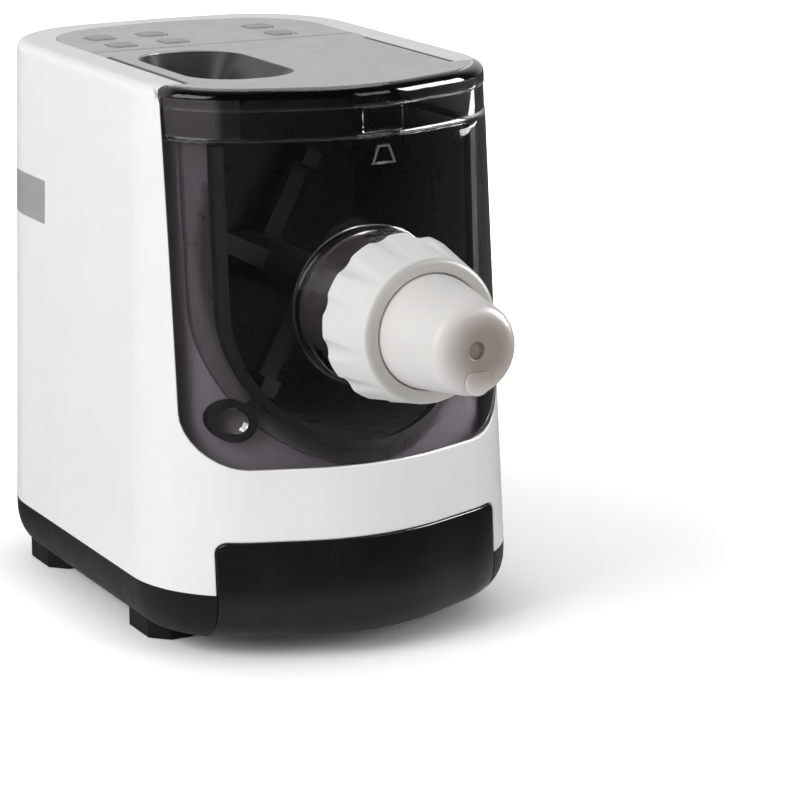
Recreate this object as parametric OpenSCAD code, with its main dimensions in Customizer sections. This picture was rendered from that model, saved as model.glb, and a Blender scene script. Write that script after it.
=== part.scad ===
// Electric pasta maker: a white housing with a mixing bowl behind a smoked front cover,
// a screw-on die nozzle, a pouring lid, a flour drawer, and the drive that turns the auger.
// Millimetres, +Z up, the nozzle points along -Y, and the origin lies under the middle of the
// whole machine, on the table.

/* [Body] */
// Width of the body at its top edge
body_w = 191; // [188:1:196]
// Height from the table to the top panel
body_h = 290; // [286:1:300]
// Depth from the middle of the body to each corner line
half_depth = 106.8; // [105:0.2:112]
// How far the front bows forward in the middle
front_bow = 49; // [45:1:52]
// How far the back bows out in the middle
rear_bow = 9.4; // [7:0.2:12]
// Radius of the two front corners
front_corner_r = 63.4; // [60:0.2:66]
// Radius of the two rear corners
rear_corner_r = 58.9; // [55:0.2:62]
// Widening of each side towards the table, per millimetre of height
side_draft = 0.032; // [0.025:0.001:0.035]
// Lean of the front towards the table, per millimetre of height
front_lean = 0.046; // [0.03:0.001:0.05]
// Lean of the back towards the table, per millimetre of height
rear_lean = 0.005; // [0:0.001:0.01]
// Thickness of the housing wall
wall = 2.8; // [2.4:0.1:3]
// Radius of the rounded top edge
top_fillet = 5; // [3:0.5:6]
// Height of the line between the white shell and the dark base
base_line = 37.6; // [35:0.1:40]
// Height of the underside of the base, which is also the height of the feet
base_bottom = 12.5; // [11:0.1:13]
// How far the rounded lower edge of the base draws in
base_tuck = 9; // [7:0.5:11]

/* [Nozzle] */
// How far the auger and nozzle axis lies below the top panel
axis_drop = 109.5; // [108:0.5:111]
// Length of the smoked collar in front of the cover
collar_len = 25; // [22:0.5:28]
// Outer radius of the smoked collar
collar_r = 39; // [38:0.5:40]
// Bore radius of the extruder barrel
barrel_bore_r = 26; // [25:0.1:26.5]
// Outer radius of the barrel inside the nut
barrel_r = 30; // [29.5:0.1:30.5]
// Length of the barrel in front of the collar
barrel_reach = 24.1; // [22:0.1:25]
// Length of the nut
nut_len = 34.9; // [34:0.1:37]
// Outer radius of the nut at its back edge
nut_back_r = 42; // [41.5:0.5:43]
// Outer radius of the nut at its front edge
nut_front_r = 36; // [35.5:0.1:37]
// Number of finger flutes round the nut
flute_count = 12; // [8:1:14]
// Radius of the hole that the die comes through
nut_mouth_r = 28.7; // [28.5:0.1:29]
// Outer radius of the die at its root
die_root_r = 28.1; // [27:0.1:28.3]
// Outer radius of the die at its tip
die_tip_r = 22.4; // [21.5:0.1:24]
// How far the die stands out of the nut
die_reach = 44.6; // [42:0.1:48]
// Diameter of one pasta hole in the die
pasta_hole_d = 2.6; // [2:0.1:3]

/* [Bowl] */
// Width between the inside of the mixing bowl and the side of the body
bowl_side = 28; // [27:0.5:29.5]
// Thickness of the bowl wall
bowl_wall = 2.5; // [2:0.1:3]
// How far the bowl's rim lies below the top panel
bowl_drop = 28; // [28:1:32]
// Width of the flange round the bowl's front rim
bowl_flange = 10; // [8:0.5:10.5]
// Length that the paddles leave free to the bowl
paddle_gap = 4; // [3:0.5:6]

/* [Front cover] */
// Width of the white edge beside the smoked cover
cover_side = 5.5; // [4.5:0.5:7.5]
// How far the cover's lower edge lies below the inside of the bowl
cover_lip = 11.2; // [10:0.1:12.5]
// Height of the lid's smoked skirt
skirt_h = 25.3; // [24.5:0.1:26.5]
// Radius of the cover's two lower corners
cover_corner_r = 27; // [22:1:30]
// Thickness of the smoked plastic
cover_t = 3; // [2.5:0.1:3.2]
// Thickness of the soft gasket behind the cover
gasket_t = 4; // [3.5:0.1:4.5]
// Width of the soft gasket's band
gasket_w = 4.5; // [4:0.1:5]

/* [Lid and panel] */
// Width of the white edge beside the lid and the control panel
panel_side = 19.5; // [18.5:0.5:20.5]
// Depth of the white edge behind the sides of the control panel
panel_back = 26.8; // [24.8:0.5:28.8]
// How far the back of the control panel bows out
panel_bow = 18; // [14:0.5:20]
// Radius of the control panel's rear corners
panel_corner_r = 45; // [40:0.5:48]
// Thickness of the lid plate and of the control panel
plate_t = 3; // [2.6:0.1:3.2]
// Radius of the lid's rear edge round its hinge pins
hinge_r = 4; // [3.6:0.1:4.6]
// Place of the hinge pins, behind the middle of the body
hinge_y = 6.5; // [6:0.5:8]
// Radius of a hinge pin
pin_r = 1.5; // [1.2:0.1:1.7]
// Width of the pouring hole
pour_w = 58; // [54:1:60]
// Place of the pouring hole's rear edge, in front of the middle of the body
pour_back = 5; // [4.5:0.5:8]
// Radius of the pouring hole's corners
pour_r = 26; // [22:1:27]
// Depth of the pouring funnel
funnel_h = 24; // [20:1:25]
// Side of a control button
button_side = 14.4; // [13:0.2:16]
// Travel of a control button
button_travel = 1; // [0.8:0.1:1.1]

/* [Drawer] */
// Width of the white edge beside the drawer's front
drawer_side = 16.5; // [15.5:0.5:19.5]
// Height of the top edge of the drawer's front
drawer_top = 64.7; // [60:0.1:68]
// Radius of the top corners of the drawer's front
drawer_corner_r = 5.5; // [4:0.5:8]
// Thickness of the drawer's walls
drawer_wall = 2; // [1.8:0.1:2.4]
// Place of the drawer's back, in front of the middle of the body
drawer_back = 20; // [16:1:30]

/* [Drive] */
// Tooth size of the fast gear pair
fast_module = 1; // [0.98:0.01:1.02]
// Tooth size of the slow gear pair
slow_module = 1.5; // [1.48:0.01:1.52]
// Radius of the motor can
motor_r = 33; // [31:0.5:34]
// Length of the motor can
motor_len = 56; // [52:1:58]
// Radius of the output shaft
shaft_r = 7; // [6:0.1:7.2]
// Radius of the auger's core
core_r = 9; // [8.6:0.1:10]
// Radius of the cooling fan
fan_r = 30; // [26:1:32]

/* [Hidden] */

white = "#f2f2f0";
charcoal = "#2b2b2d";
smoked = "#26242a";
grey_panel = "#9b9b9d";
silver = "#a9abae";
ivory = "#e9e6df";
steel = "#c4c6c8";
brass = "#c8a24a";

$fn = 64;
arc_steps = 14; // points along each corner of the body
front_steps = 16; // points along the bowed front
rear_steps = 10; // points along the bowed back
fillet_steps = 4; // rings of the rounded top edge

gap = 0.3; // between pieces that move past each other, or that only meet
fit = 0.05; // radial running clearance of a shaft or pin in its hole
eps = 0.01;
far = 400; // longer than the whole machine

// Levels of the body, each with how far the outline draws in there
base_levels = [
  [base_bottom, base_tuck], [base_bottom + (base_line - base_bottom) * 0.18, base_tuck / 2],
  [base_bottom + (base_line - base_bottom) * 0.46, base_tuck / 6], [base_line, 0]
];
shell_levels = concat(
  [[base_line, 0]],
  [for (k = [0:fillet_steps])
    let (a = 90 * k / fillet_steps)
    [body_h - top_fillet * (1 - sin(a)), top_fillet * (1 - cos(a))]]
);

// Heights and widths that follow the body
axis_z = body_h - axis_drop;
skirt_line = body_h - skirt_h;
bowl_top = body_h - bowl_drop;
bowl_r = body_w / 2 - bowl_side;
cover_half_w = body_w / 2 - cover_side;
cover_bottom = axis_z - bowl_r - cover_lip;
panel_half_w = body_w / 2 - panel_side;
panel_rear = half_depth - panel_back;
drawer_half_w = body_w / 2 - drawer_side;

// The front of the body at the nozzle axis, and the places in front of it along Y
face_y = -(half_depth + front_lean * (body_h - axis_z) + front_bow);
collar_y = face_y - collar_len;
barrel_y = collar_y - barrel_reach;
nut_y = collar_y - nut_len;
die_y = nut_y - die_reach;
knob_len = 1.6;
rear_y = half_depth + rear_lean * (body_h - base_line) + rear_bow;
frame_y = -(rear_y + die_y - knob_len) / 2;

// Where the lid, the panel and the shell's ledge meet
lid_front_y = -(half_depth - 0.3);
plate_under = body_h - plate_t;
ledge = 4;
shell_top_t = 6;
hinge_z = body_h - hinge_r;
panel_front_y = hinge_y + hinge_r + 0.5;
pour_x = 40 - panel_half_w;
pour_d = half_depth + 1.2 - pour_back;
pour_y = -(pour_back + pour_d / 2);

// Inner bay and drive places
floor_t = 3;
base_floor = base_bottom + floor_t;
liner_t = 2.5;
liner_half_w = cover_half_w - 1.5;
bowl_out_r = bowl_r + bowl_wall;
flange_r = bowl_out_r + bowl_flange;
liner_floor = axis_z - flange_r - gap;
bulkhead_t = 3;
bowl_back = -6;
// How far the bowl's rim and the bay's face lie below the body's curved front
rim_inset = cover_t + gasket_t + gap;
liner_inset = rim_inset + 2;
// Place of the gasket's ear beside the bowl
ear_angle = 219;
ear_place = bowl_r + 19.4;
ear_x = ear_place * cos(ear_angle);
ear_z = axis_z + ear_place * sin(ear_angle);

// Gears: tooth counts and centre distances
pinion_teeth = 14;
fast_teeth = 52;
slow_teeth = 40;
fast_centres = fast_module * (pinion_teeth + fast_teeth) / 2;
slow_centres = slow_module * (pinion_teeth + slow_teeth) / 2;
idler_z = axis_z - slow_centres;
motor_z = idler_z - fast_centres;
gearbox_front = bulkhead_t;
gearbox_wall = 3;
slow_y = gearbox_front + 7;
slow_face = 8;
fast_y = slow_y + slow_face + 2;
fast_face = 6;
cover_y = fast_y + fast_face + 3;
motor_y = cover_y + gearbox_wall;
motor_shaft_r = 4;
bearing_len = 5;
bearing_r = 13;
gearbox_half_w = slow_module * (slow_teeth / 2 + 1) + 5;
gearbox_top = axis_z + gearbox_half_w;
gearbox_bottom = motor_z - 24;
fan_y = motor_y + motor_len + 3;
fan_len = 8;

// ---------- shapes that repeat ----------

// Closed outline with straight sides, bowed front and back, and round corners
function bowed(hw, yr, yf, br, bf, rr, rf) =
  let (
    cf = hw - rf, cr = hw - rr,
    sf = 2 * bf * cf / (hw * hw), sr = 2 * br * cr / (hw * hw),
    cyf = yf - bf * (1 - cf * cf / (hw * hw)) + rf * sqrt(1 + sf * sf),
    cyr = yr + br * (1 - cr * cr / (hw * hw)) - rr * sqrt(1 + sr * sr),
    af = atan(sf), ar = atan(sr)
  )
  concat(
    [for (i = [0:front_steps])
      let (x = -cf + 2 * cf * i / front_steps) [x, yf - bf * (1 - x * x / (hw * hw))]],
    [for (i = [0:arc_steps])
      let (a = -90 + af + (90 - af) * i / arc_steps) [cf + rf * cos(a), cyf + rf * sin(a)]],
    [for (i = [0:arc_steps])
      let (a = (90 - ar) * i / arc_steps) [cr + rr * cos(a), cyr + rr * sin(a)]],
    [for (i = [0:rear_steps])
      let (x = cr - 2 * cr * i / rear_steps) [x, yr + br * (1 - x * x / (hw * hw))]],
    [for (i = [0:arc_steps])
      let (a = 90 + ar + (90 - ar) * i / arc_steps) [-cr + rr * cos(a), cyr + rr * sin(a)]],
    [for (i = [0:arc_steps])
      let (a = 180 + (90 - af) * i / arc_steps) [-cf + rf * cos(a), cyf + rf * sin(a)]]
  );

// The body's outline at height z, drawn in by inset
function outline(z, inset) =
  let (d = body_h - z)
  bowed(
    body_w / 2 + side_draft * d - inset,
    half_depth + rear_lean * d - inset,
    -(half_depth + front_lean * d) + inset,
    rear_bow, front_bow, rear_corner_r - inset, front_corner_r - inset
  );

// Solid through the body's outlines at the given levels of [height, inset]
module loft(levels, more = 0) {
  rings = [for (l = levels) [for (p = outline(l[0], l[1] + more)) [p.x, p.y, l[0]]]];
  n = len(rings[0]);
  m = len(levels);
  sides = [for (k = [0:m - 2], i = [0:n - 1])
    let (a = k * n + i, b = k * n + (i + 1) % n) each [[a, a + n, b + n], [a, b + n, b]]];
  bottom = [for (i = [0:n - 1]) i];
  top = [for (i = [n - 1:-1:0]) (m - 1) * n + i];
  polyhedron([for (r = rings) each r], concat(sides, [bottom], [top]));
}

// The body between two heights with a straight draft, drawn in by inset
module slab(z0, z1, inset) {
  loft([[z0, inset], [z1, inset]]);
}

// Moves a shape drawn round the Z axis to the nozzle axis, pointing forward from y
module along_axis(y, z = axis_z) {
  translate([0, y, z])
    rotate([90, 0, 0])
      children();
}

// Plain ring round the local Z axis
module ring(r_out, r_in, h) {
  difference() {
    cylinder(r = r_out, h = h);
    translate([0, 0, -1])
      cylinder(r = r_in, h = h + 2);
  }
}

// Upright U of radius r in the plane of the bowl's front, open upwards
module u_shape(r) {
  circle(r);
  translate([-r, 0])
    square([2 * r, bowl_top - axis_z]);
}

// Rectangle with round corners, in the middle of its place
module round_rect(w, d, r) {
  square([w - 2 * r, d], center = true);
  square([w, d - 2 * r], center = true);
  for (x = [-1, 1], y = [-1, 1])
    translate([x * (w / 2 - r), y * (d / 2 - r)])
      circle(r);
}

// Window of the front cover, seen from the front, grown by g
module window_2d(g, top) {
  r = cover_corner_r + g;
  x = cover_half_w + g - r;
  bottom = cover_bottom - g;
  for (s = [-1, 1])
    translate([s * x, bottom + r])
      circle(r);
  translate([-x, bottom])
    square([2 * x, r * 2]);
  translate([-x - r, bottom + r])
    square([2 * (x + r), top - bottom - r]);
}

// Front of the drawer, seen from the front, grown by g
module drawer_2d(g) {
  r = drawer_corner_r + g;
  x = drawer_half_w + g - r;
  top = drawer_top + g;
  for (s = [-1, 1])
    translate([s * x, top - r])
      circle(r);
  translate([-x, 0])
    square([2 * x, top]);
  translate([-x - r, 0])
    square([2 * (x + r), top - r]);
}

// A shape seen from the front, run through the front half of the machine
module through_front(y_from = lid_front_y) {
  translate([0, y_from, 0])
    rotate([90, 0, 0])
      linear_extrude(height = far)
        children();
}

// Plan of the opening for lid and control panel, grown by g
module top_opening_2d(g) {
  polygon(bowed(panel_half_w + g, panel_rear + g, lid_front_y - 5, panel_bow, 0, panel_corner_r + g, 2));
}

// Plan of the front part of the lid, grown by g
module lid_nose_2d(g) {
  translate([-cover_half_w - g, -far])
    square([2 * (cover_half_w + g), far + lid_front_y]);
}

// Involute gear: teeth, module, tip height in modules, and the angle of its first tooth
function involute(a) = tan(a) * 180 / PI - a;

module gear_2d(teeth, mod, first) {
  r = mod * teeth / 2;
  rb = r * cos(20);
  tip = r + 0.85 * mod;
  root = r - 1.15 * mod;
  play = 0.12 * mod;
  half = 90 / teeth - play / r * 180 / PI / 2;
  radii = [root, max(rb, root + 0.05), r - 0.4 * mod, r, r + 0.45 * mod, tip];
  flank = [for (q = radii)
    [q, half + involute(20) - (q > rb ? involute(acos(rb / q)) : 0)]];
  polygon([for (t = [0:teeth - 1])
    let (mid = first + 360 * t / teeth)
    each concat(
      [for (f = flank) f[0] * [cos(mid - f[1]), sin(mid - f[1])]],
      [for (k = [len(flank) - 1:-1:0])
        flank[k][0] * [cos(mid + flank[k][1]), sin(mid + flank[k][1])]]
    )]);
}

// Gear on a Y axis at height z, from y backwards, with a bore
module gear(y, z, teeth, mod, face, bore, first) {
  along_axis(y + face, z)
    difference() {
      linear_extrude(height = face)
        gear_2d(teeth, mod, first);
      translate([0, 0, -1])
        cylinder(r = bore, h = face + 2);
    }
}

// Screw with a pan head at z = 0, shank upwards
module screw(r, length) {
  head_h = r * 1.2;
  difference() {
    union() {
      cylinder(r = r * 2, h = head_h, $fn = 32);
      cylinder(r = r, h = head_h + length, $fn = 32);
    }
    translate([0, 0, head_h * 0.3])
      cube([r * 2.4, r * 0.5, head_h * 0.7], center = true);
    translate([0, 0, head_h * 0.3])
      cube([r * 0.5, r * 2.4, head_h * 0.7], center = true);
  }
}

// ---------- housing ----------

foot_w = 30;
foot_d = 42;
foot_x = body_w / 2 - 18.5;
foot_y = [35.8 - half_depth, half_depth - 40.8];
foot_screw_r = 2;
foot_screw_x = 7; // outside the middle of the foot
foot_chamfer = 9;
block_x = 10;
block_y = [-28, 21];
vent_count = 13;
vent_pitch = 6;
vent_w = 3;
vent_h = 46;
band_low = body_h - 90.5;
band_high = body_h - 60;
band_front = half_depth - 80.1;
band_t = 1.4;
inlet_z = base_line + 13.4;
inlet_w = 31;
inlet_h = 24;
inlet_depth = 16;
inlet_flange_t = 2.5;
inlet_back = rear_y - 0.4;
inlet_wall = 4;
pin_places = [[-7, -2], [0, 3], [7, -2]];
pin_len = 11.5;
pin_tail = 1.5; // of each pin, behind the inlet's body

module at_feet(outside = 0) {
  for (s = [-1, 1], y = foot_y)
    translate([s * (foot_x + outside), y, 0])
      children();
}

module hinge_boss(s) {
  translate([s > 0 ? panel_half_w + 1 : -panel_half_w - 1 - 9, hinge_y - 8, hinge_z - 8])
    cube([9, 16, 8 + hinge_r]);
}

module vents() {
  for (i = [0:vent_count - 1])
    translate([(i - (vent_count - 1) / 2) * vent_pitch, half_depth, motor_z])
      cube([vent_w, 40, vent_h], center = true);
}

module band_shape(inset, depth, grow) {
  difference() {
    intersection() {
      slab(band_low - grow, band_high + grow, inset);
      translate([-far / 2, band_front - grow, 0])
        cube([far, far, far]);
    }
    slab(band_low - 5, band_high + 5, inset + depth);
  }
}

module housing_shell() {
  color(white)
    difference() {
      loft(shell_levels);
      difference() {
        slab(base_line - 1, body_h - shell_top_t, wall);
        for (s = [-1, 1])
          hinge_boss(s);
        for (s = [-1, 1], y = block_y)
          translate([s * (body_w / 2 + 2), y, base_line + 12])
            cube([2 * block_x + 16, 14, 24 + eps], center = true);
      }
      // opening for the lid and the control panel, with a ledge under both
      translate([0, 0, plate_under - 0.2])
        linear_extrude(height = 20)
          top_opening_2d(gap);
      translate([0, 0, body_h - 40])
        linear_extrude(height = 60)
          top_opening_2d(-ledge);
      translate([-panel_half_w - 0.7, hinge_y - hinge_r - 2, body_h - 40])
        cube([2 * panel_half_w + 1.4, 2 * hinge_r + 4, 60]);
      // window for the front cover and the lid's skirt
      through_front()
        window_2d(gap, far);
      // notch for the front of the drawer
      through_front()
        drawer_2d(gap);
      // hinge pins
      for (s = [-1, 1])
        translate([s * (panel_half_w + 5), hinge_y, hinge_z])
          rotate([0, 90, 0])
            cylinder(r = pin_r + 0.02, h = 10 + eps, center = true);
      // pilot holes of the base screws
      for (s = [-1, 1], y = block_y)
        translate([s * (body_w / 2 - block_x), y, base_line - 1])
          cylinder(r = foot_screw_r + fit, h = 18);
      vents();
      band_shape(-1, 1 + band_t + 0.1, 0.1);
      // mains inlet
      translate([0, half_depth, inlet_z])
        cube([inlet_w + 0.4, 40, inlet_h + 0.4], center = true);
    }
}

module base_tray() {
  color(charcoal)
    difference() {
      loft(base_levels);
      difference() {
        loft(base_levels, wall + 0.2);
        cube([far, far, 2 * base_floor], center = true);
        // bosses of the foot screws and base screws
        at_feet(foot_screw_x)
          cylinder(r = 6, h = base_floor + 12);
        for (s = [-1, 1], y = block_y)
          translate([s * (body_w / 2 - block_x), y, 0])
            cylinder(r = 6.5, h = base_line);
      }
      translate([0, 0, base_line - eps])
        cylinder(r = far, h = 1);
      // room for the drawer, above the floor that runs forward under it
      difference() {
        through_front()
          drawer_2d(gap);
        intersection() {
          loft(base_levels, cover_t + 2 * gap);
          cube([far, far, 2 * base_floor], center = true);
        }
      }
      at_feet(foot_screw_x)
        cylinder(r = foot_screw_r + fit, h = base_floor + 10);
      for (s = [-1, 1], y = block_y)
        translate([s * (body_w / 2 - block_x), y, 0]) {
          cylinder(r = foot_screw_r + fit, h = far);
          cylinder(r = 2 * foot_screw_r + 0.5, h = base_line - 12);
        }
    }
}

module feet() {
  color("#1d1d1f")
    difference() {
      at_feet()
        linear_extrude(height = base_bottom)
          polygon([
            [-foot_w / 2 + foot_chamfer, -foot_d / 2], [foot_w / 2 - foot_chamfer, -foot_d / 2],
            [foot_w / 2, -foot_d / 2 + foot_chamfer], [foot_w / 2, foot_d / 2 - foot_chamfer],
            [foot_w / 2 - foot_chamfer, foot_d / 2], [-foot_w / 2 + foot_chamfer, foot_d / 2],
            [-foot_w / 2, foot_d / 2 - foot_chamfer], [-foot_w / 2, -foot_d / 2 + foot_chamfer]
          ]);
      at_feet(foot_screw_x) {
        translate([0, 0, -1])
          cylinder(r = 2 * foot_screw_r + 0.5, h = 5);
        cylinder(r = foot_screw_r + fit, h = far);
      }
    }
}

module foot_screws() {
  color(steel) {
    at_feet(foot_screw_x)
      translate([0, 0, 4 - foot_screw_r * 1.2])
        screw(foot_screw_r, 18);
    for (s = [-1, 1], y = block_y)
      translate([s * (body_w / 2 - block_x), y, base_line - 12 - foot_screw_r * 1.2])
        screw(foot_screw_r, 24);
  }
}

module rear_grip_band() {
  color(silver)
    band_shape(0, band_t, 0);
}

module power_inlet() {
  body_w2 = inlet_w - 4;
  body_h2 = inlet_h - 4;
  color(charcoal)
    difference() {
      union() {
        translate([-inlet_w / 2, inlet_back - inlet_flange_t, inlet_z - inlet_h / 2])
          cube([inlet_w, inlet_flange_t, inlet_h]);
        translate([-body_w2 / 2, inlet_back - inlet_depth, inlet_z - body_h2 / 2])
          cube([body_w2, inlet_depth, body_h2]);
      }
      translate([-body_w2 / 2 + 1.8, inlet_back - inlet_depth + inlet_wall, inlet_z - body_h2 / 2 + 1.8])
        cube([body_w2 - 3.6, far, body_h2 - 3.6]);
      for (p = pin_places)
        translate([p.x - 1, inlet_back - inlet_depth - 1, inlet_z + p.y - 2])
          cube([2, inlet_wall + 2, 4]);
    }
}

module inlet_pins() {
  color(brass)
    for (p = pin_places)
      translate([p.x - 1, inlet_back - inlet_depth - pin_tail, inlet_z + p.y - 2])
        cube([2, pin_len, 4]);
}

// ---------- top panel and buttons ----------

button_x = [24 - panel_half_w, 54 - panel_half_w, panel_half_w - 35];
button_y = [panel_rear - 24, 27];
button_clear = 0.4;
board_z = plate_under - 10;
board_t = 1.6;
post_r = 3.5;
posts = [
  [12 - panel_half_w, 16], [panel_half_w - 18, 18],
  [12 - panel_half_w, panel_rear - 14], [panel_half_w - 20, panel_rear - 12]
];

module board_posts(r, z0, h) {
  for (p = posts)
    translate([p.x, p.y, z0])
      cylinder(r = r, h = h, $fn = 32);
}

module control_panel() {
  color(grey_panel)
    difference() {
      union() {
        translate([0, 0, plate_under])
          linear_extrude(height = plate_t)
            intersection() {
              top_opening_2d(0);
              translate([-far / 2, panel_front_y])
                square([far, far]);
            }
        board_posts(post_r, board_z + board_t, plate_under - board_z - board_t + 1);
        // stiffening rib behind the lid's rounded edge
        translate([-panel_half_w + ledge + 1, panel_front_y, plate_under - 6])
          cube([2 * (panel_half_w - ledge - 1), 2, 7]);
      }
      for (x = button_x, y = button_y)
        translate([x, y, plate_under - 1])
          linear_extrude(height = plate_t + 2)
            round_rect(button_side + 2 * button_clear, button_side + 2 * button_clear, 3.4);
      board_posts(1.25, board_z, 8);
    }
}

module button(x, y) {
  crown = body_h + 0.8;
  color(silver)
    translate([x, y, 0]) {
      intersection() {
        translate([0, 0, plate_under - 1])
          linear_extrude(height = 8)
            round_rect(button_side, button_side, 3);
        translate([0, 0, crown - 60])
          sphere(r = 60, $fn = 128);
      }
      translate([0, 0, plate_under - 2.2])
        linear_extrude(height = 2)
          square(button_side + 3, center = true);
      translate([0, 0, board_z + board_t + 3 + button_travel])
        cylinder(r = 3, h = plate_under - board_z - board_t - 4 - button_travel);
    }
}

module control_board() {
  color("#2f6b45")
    difference() {
      translate([6 - panel_half_w, 12.5, board_z])
        cube([2 * panel_half_w - 18, panel_rear - 20, board_t]);
      board_posts(1.25, board_z - 1, 6);
    }
  color(charcoal)
    for (x = button_x, y = button_y)
      translate([x, y, board_z + board_t]) {
        translate([-3, -3, -eps])
          cube([6, 6, 2]);
        cylinder(r = 1.7, h = 2.6, $fn = 32);
      }
}

module board_screws() {
  color(steel)
    for (p = posts)
      translate([p.x, p.y, board_z - 1.44])
        screw(1.2, 8);
}

power_w = 44;
power_d = 58;
power_x = body_w / 2 - 67.5;
power_y = half_depth - 84.8;
power_post_h = 5;

module power_board() {
  z0 = base_floor + power_post_h;
  color("#2f6b45")
    translate([power_x, power_y, z0])
      cube([power_w, power_d, board_t]);
  color(charcoal) {
    // transformer, capacitors and the four posts
    translate([power_x + 6, power_y + 6, z0 + board_t - eps])
      cube([22, 20, 18]);
    for (i = [0:2])
      translate([power_x + 10 + 12 * i, power_y + 40, z0 + board_t - eps])
        cylinder(r = 4.5, h = 16, $fn = 32);
    for (x = [4, power_w - 4], y = [4, power_d - 4])
      translate([power_x + x, power_y + y, base_floor])
        cylinder(r = 2.5, h = power_post_h + eps, $fn = 32);
  }
}

// ---------- inner frame and bowl ----------

module bulkhead() {
  top = plate_under - 14;
  x_at = [for (z = [base_floor, top]) body_w / 2 + side_draft * (body_h - z) - wall - 1];
  base_x = x_at[0] - base_tuck;
  color("#3a3a3d")
    difference() {
      translate([0, bulkhead_t, 0])
        rotate([90, 0, 0])
          linear_extrude(height = bulkhead_t)
            polygon([
              [-base_x, base_floor], [base_x, base_floor], [x_at[0] - 1, base_line],
              [x_at[1], top], [-x_at[1], top], [1 - x_at[0], base_line]
            ]);
      along_axis(far / 2)
        cylinder(r = bearing_r + 4, h = far);
    }
}

module bay_liner() {
  top = bowl_top - 1;
  inner_half_w = liner_half_w - liner_t;
  color("#3a3a3d")
    difference() {
      intersection() {
        slab(liner_floor - liner_t, top, liner_inset);
        translate([-liner_half_w, -far, 0])
          cube([2 * liner_half_w, far - gap, far]);
      }
      // leaves the curved face round the bowl, two side walls and the floor
      intersection() {
        slab(liner_floor, top + 1, liner_inset + liner_t);
        translate([-inner_half_w, -far, 0])
          cube([2 * inner_half_w, 2 * far, far]);
      }
      along_axis(bowl_back - 80)
        linear_extrude(height = far)
          u_shape(flange_r + gap);
    }
}

module mixing_bowl() {
  color("#4b4a4f")
    difference() {
      union() {
        // trough, and a flange that follows the curved front
        intersection() {
          slab(base_line, bowl_top, rim_inset);
          along_axis(bowl_back)
            linear_extrude(height = far)
              u_shape(bowl_out_r);
        }
        difference() {
          intersection() {
            slab(base_line, bowl_top, rim_inset);
            along_axis(bowl_back - 80)
              linear_extrude(height = far)
                u_shape(flange_r);
          }
          slab(base_line - 1, body_h, rim_inset + 4);
        }
        translate([-30, bowl_back - 6, liner_floor])
          cube([60, 6, bowl_wall + flange_r - bowl_out_r + 1]);
      }
      along_axis(bowl_back - 3)
        linear_extrude(height = far)
          u_shape(bowl_r);
      translate([-bowl_r, -far, axis_z])
        cube([2 * bowl_r, far + bowl_back - 3, far]);
      along_axis(10)
        cylinder(r = core_r + 5, h = 40);
    }
}

module shaft_seal() {
  color("#1d1d1f")
    along_axis(bowl_back + 0.5)
      ring(core_r + 5, core_r + fit, 4);
}

// ---------- gearbox and motor ----------

module gearbox_outline(grow) {
  translate([0, (gearbox_top + gearbox_bottom) / 2])
    round_rect(2 * (gearbox_half_w + grow), gearbox_top - gearbox_bottom + 2 * grow, 10 + grow);
}

gear_screws = [for (s = [-1, 1], z = [gearbox_top - 5, gearbox_bottom + 5]) [s * (gearbox_half_w - 5), z]];

module gearbox_housing() {
  color("#b9bbbd")
    difference() {
      along_axis(cover_y, 0)
        linear_extrude(height = cover_y - gearbox_front)
          gearbox_outline(0);
      difference() {
        along_axis(cover_y + 1, 0)
          linear_extrude(height = cover_y + 1 - gearbox_front - gearbox_wall)
            gearbox_outline(-gearbox_wall);
        along_axis(gearbox_front + bearing_len + 1)
          cylinder(r = bearing_r + 3, h = 20);
        along_axis(gearbox_front + gearbox_wall + 3, idler_z)
          cylinder(r = 6, h = 10);
        for (p = gear_screws)
          translate([p.x, far / 2, p.y])
            rotate([90, 0, 0])
              cylinder(r = 4, h = far, $fn = 32);
      }
      along_axis(gearbox_front + bearing_len)
        cylinder(r = bearing_r + 0.02, h = 20);
      along_axis(far / 2)
        cylinder(r = shaft_r + 0.5, h = far);
      along_axis(far / 2, idler_z)
        cylinder(r = 3.02, h = far / 2 - gearbox_front - 1.5);
      for (p = gear_screws)
        translate([p.x, far / 2, p.y])
          rotate([90, 0, 0])
            cylinder(r = 1.55, h = far / 2 - gearbox_front - 5, $fn = 32);
    }
}

module gearbox_cover() {
  color("#b9bbbd")
    difference() {
      union() {
        along_axis(cover_y + gearbox_wall, 0)
          linear_extrude(height = gearbox_wall)
            gearbox_outline(0);
        along_axis(cover_y + gearbox_wall)
          cylinder(r = bearing_r + 3, h = bearing_len);
      }
      along_axis(cover_y + 2)
        cylinder(r = bearing_r + 0.02, h = 20);
      along_axis(far / 2)
        cylinder(r = shaft_r + 0.5, h = far / 2);
      along_axis(cover_y + 1.5, idler_z)
        cylinder(r = 3.02, h = 20);
      along_axis(far / 2, motor_z)
        cylinder(r = motor_shaft_r + 2, h = far);
      for (p = gear_screws)
        translate([p.x, far / 2, p.y])
          rotate([90, 0, 0])
            cylinder(r = 1.55, h = far, $fn = 32);
    }
}

module gearbox_screws() {
  color(steel)
    for (p = gear_screws)
      translate([p.x, cover_y + gearbox_wall + 1.8, p.y])
        rotate([90, 0, 0])
          screw(1.5, 18);
}

module shaft_bearings() {
  color(brass) {
    along_axis(gearbox_front + bearing_len)
      ring(bearing_r, shaft_r + fit, bearing_len);
    along_axis(cover_y + 2)
      ring(bearing_r, shaft_r + fit, bearing_len);
  }
}

module idler_axle() {
  color(steel)
    along_axis(cover_y + 1.4, idler_z)
      cylinder(r = 3, h = cover_y - gearbox_front - 0.2);
}

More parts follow.
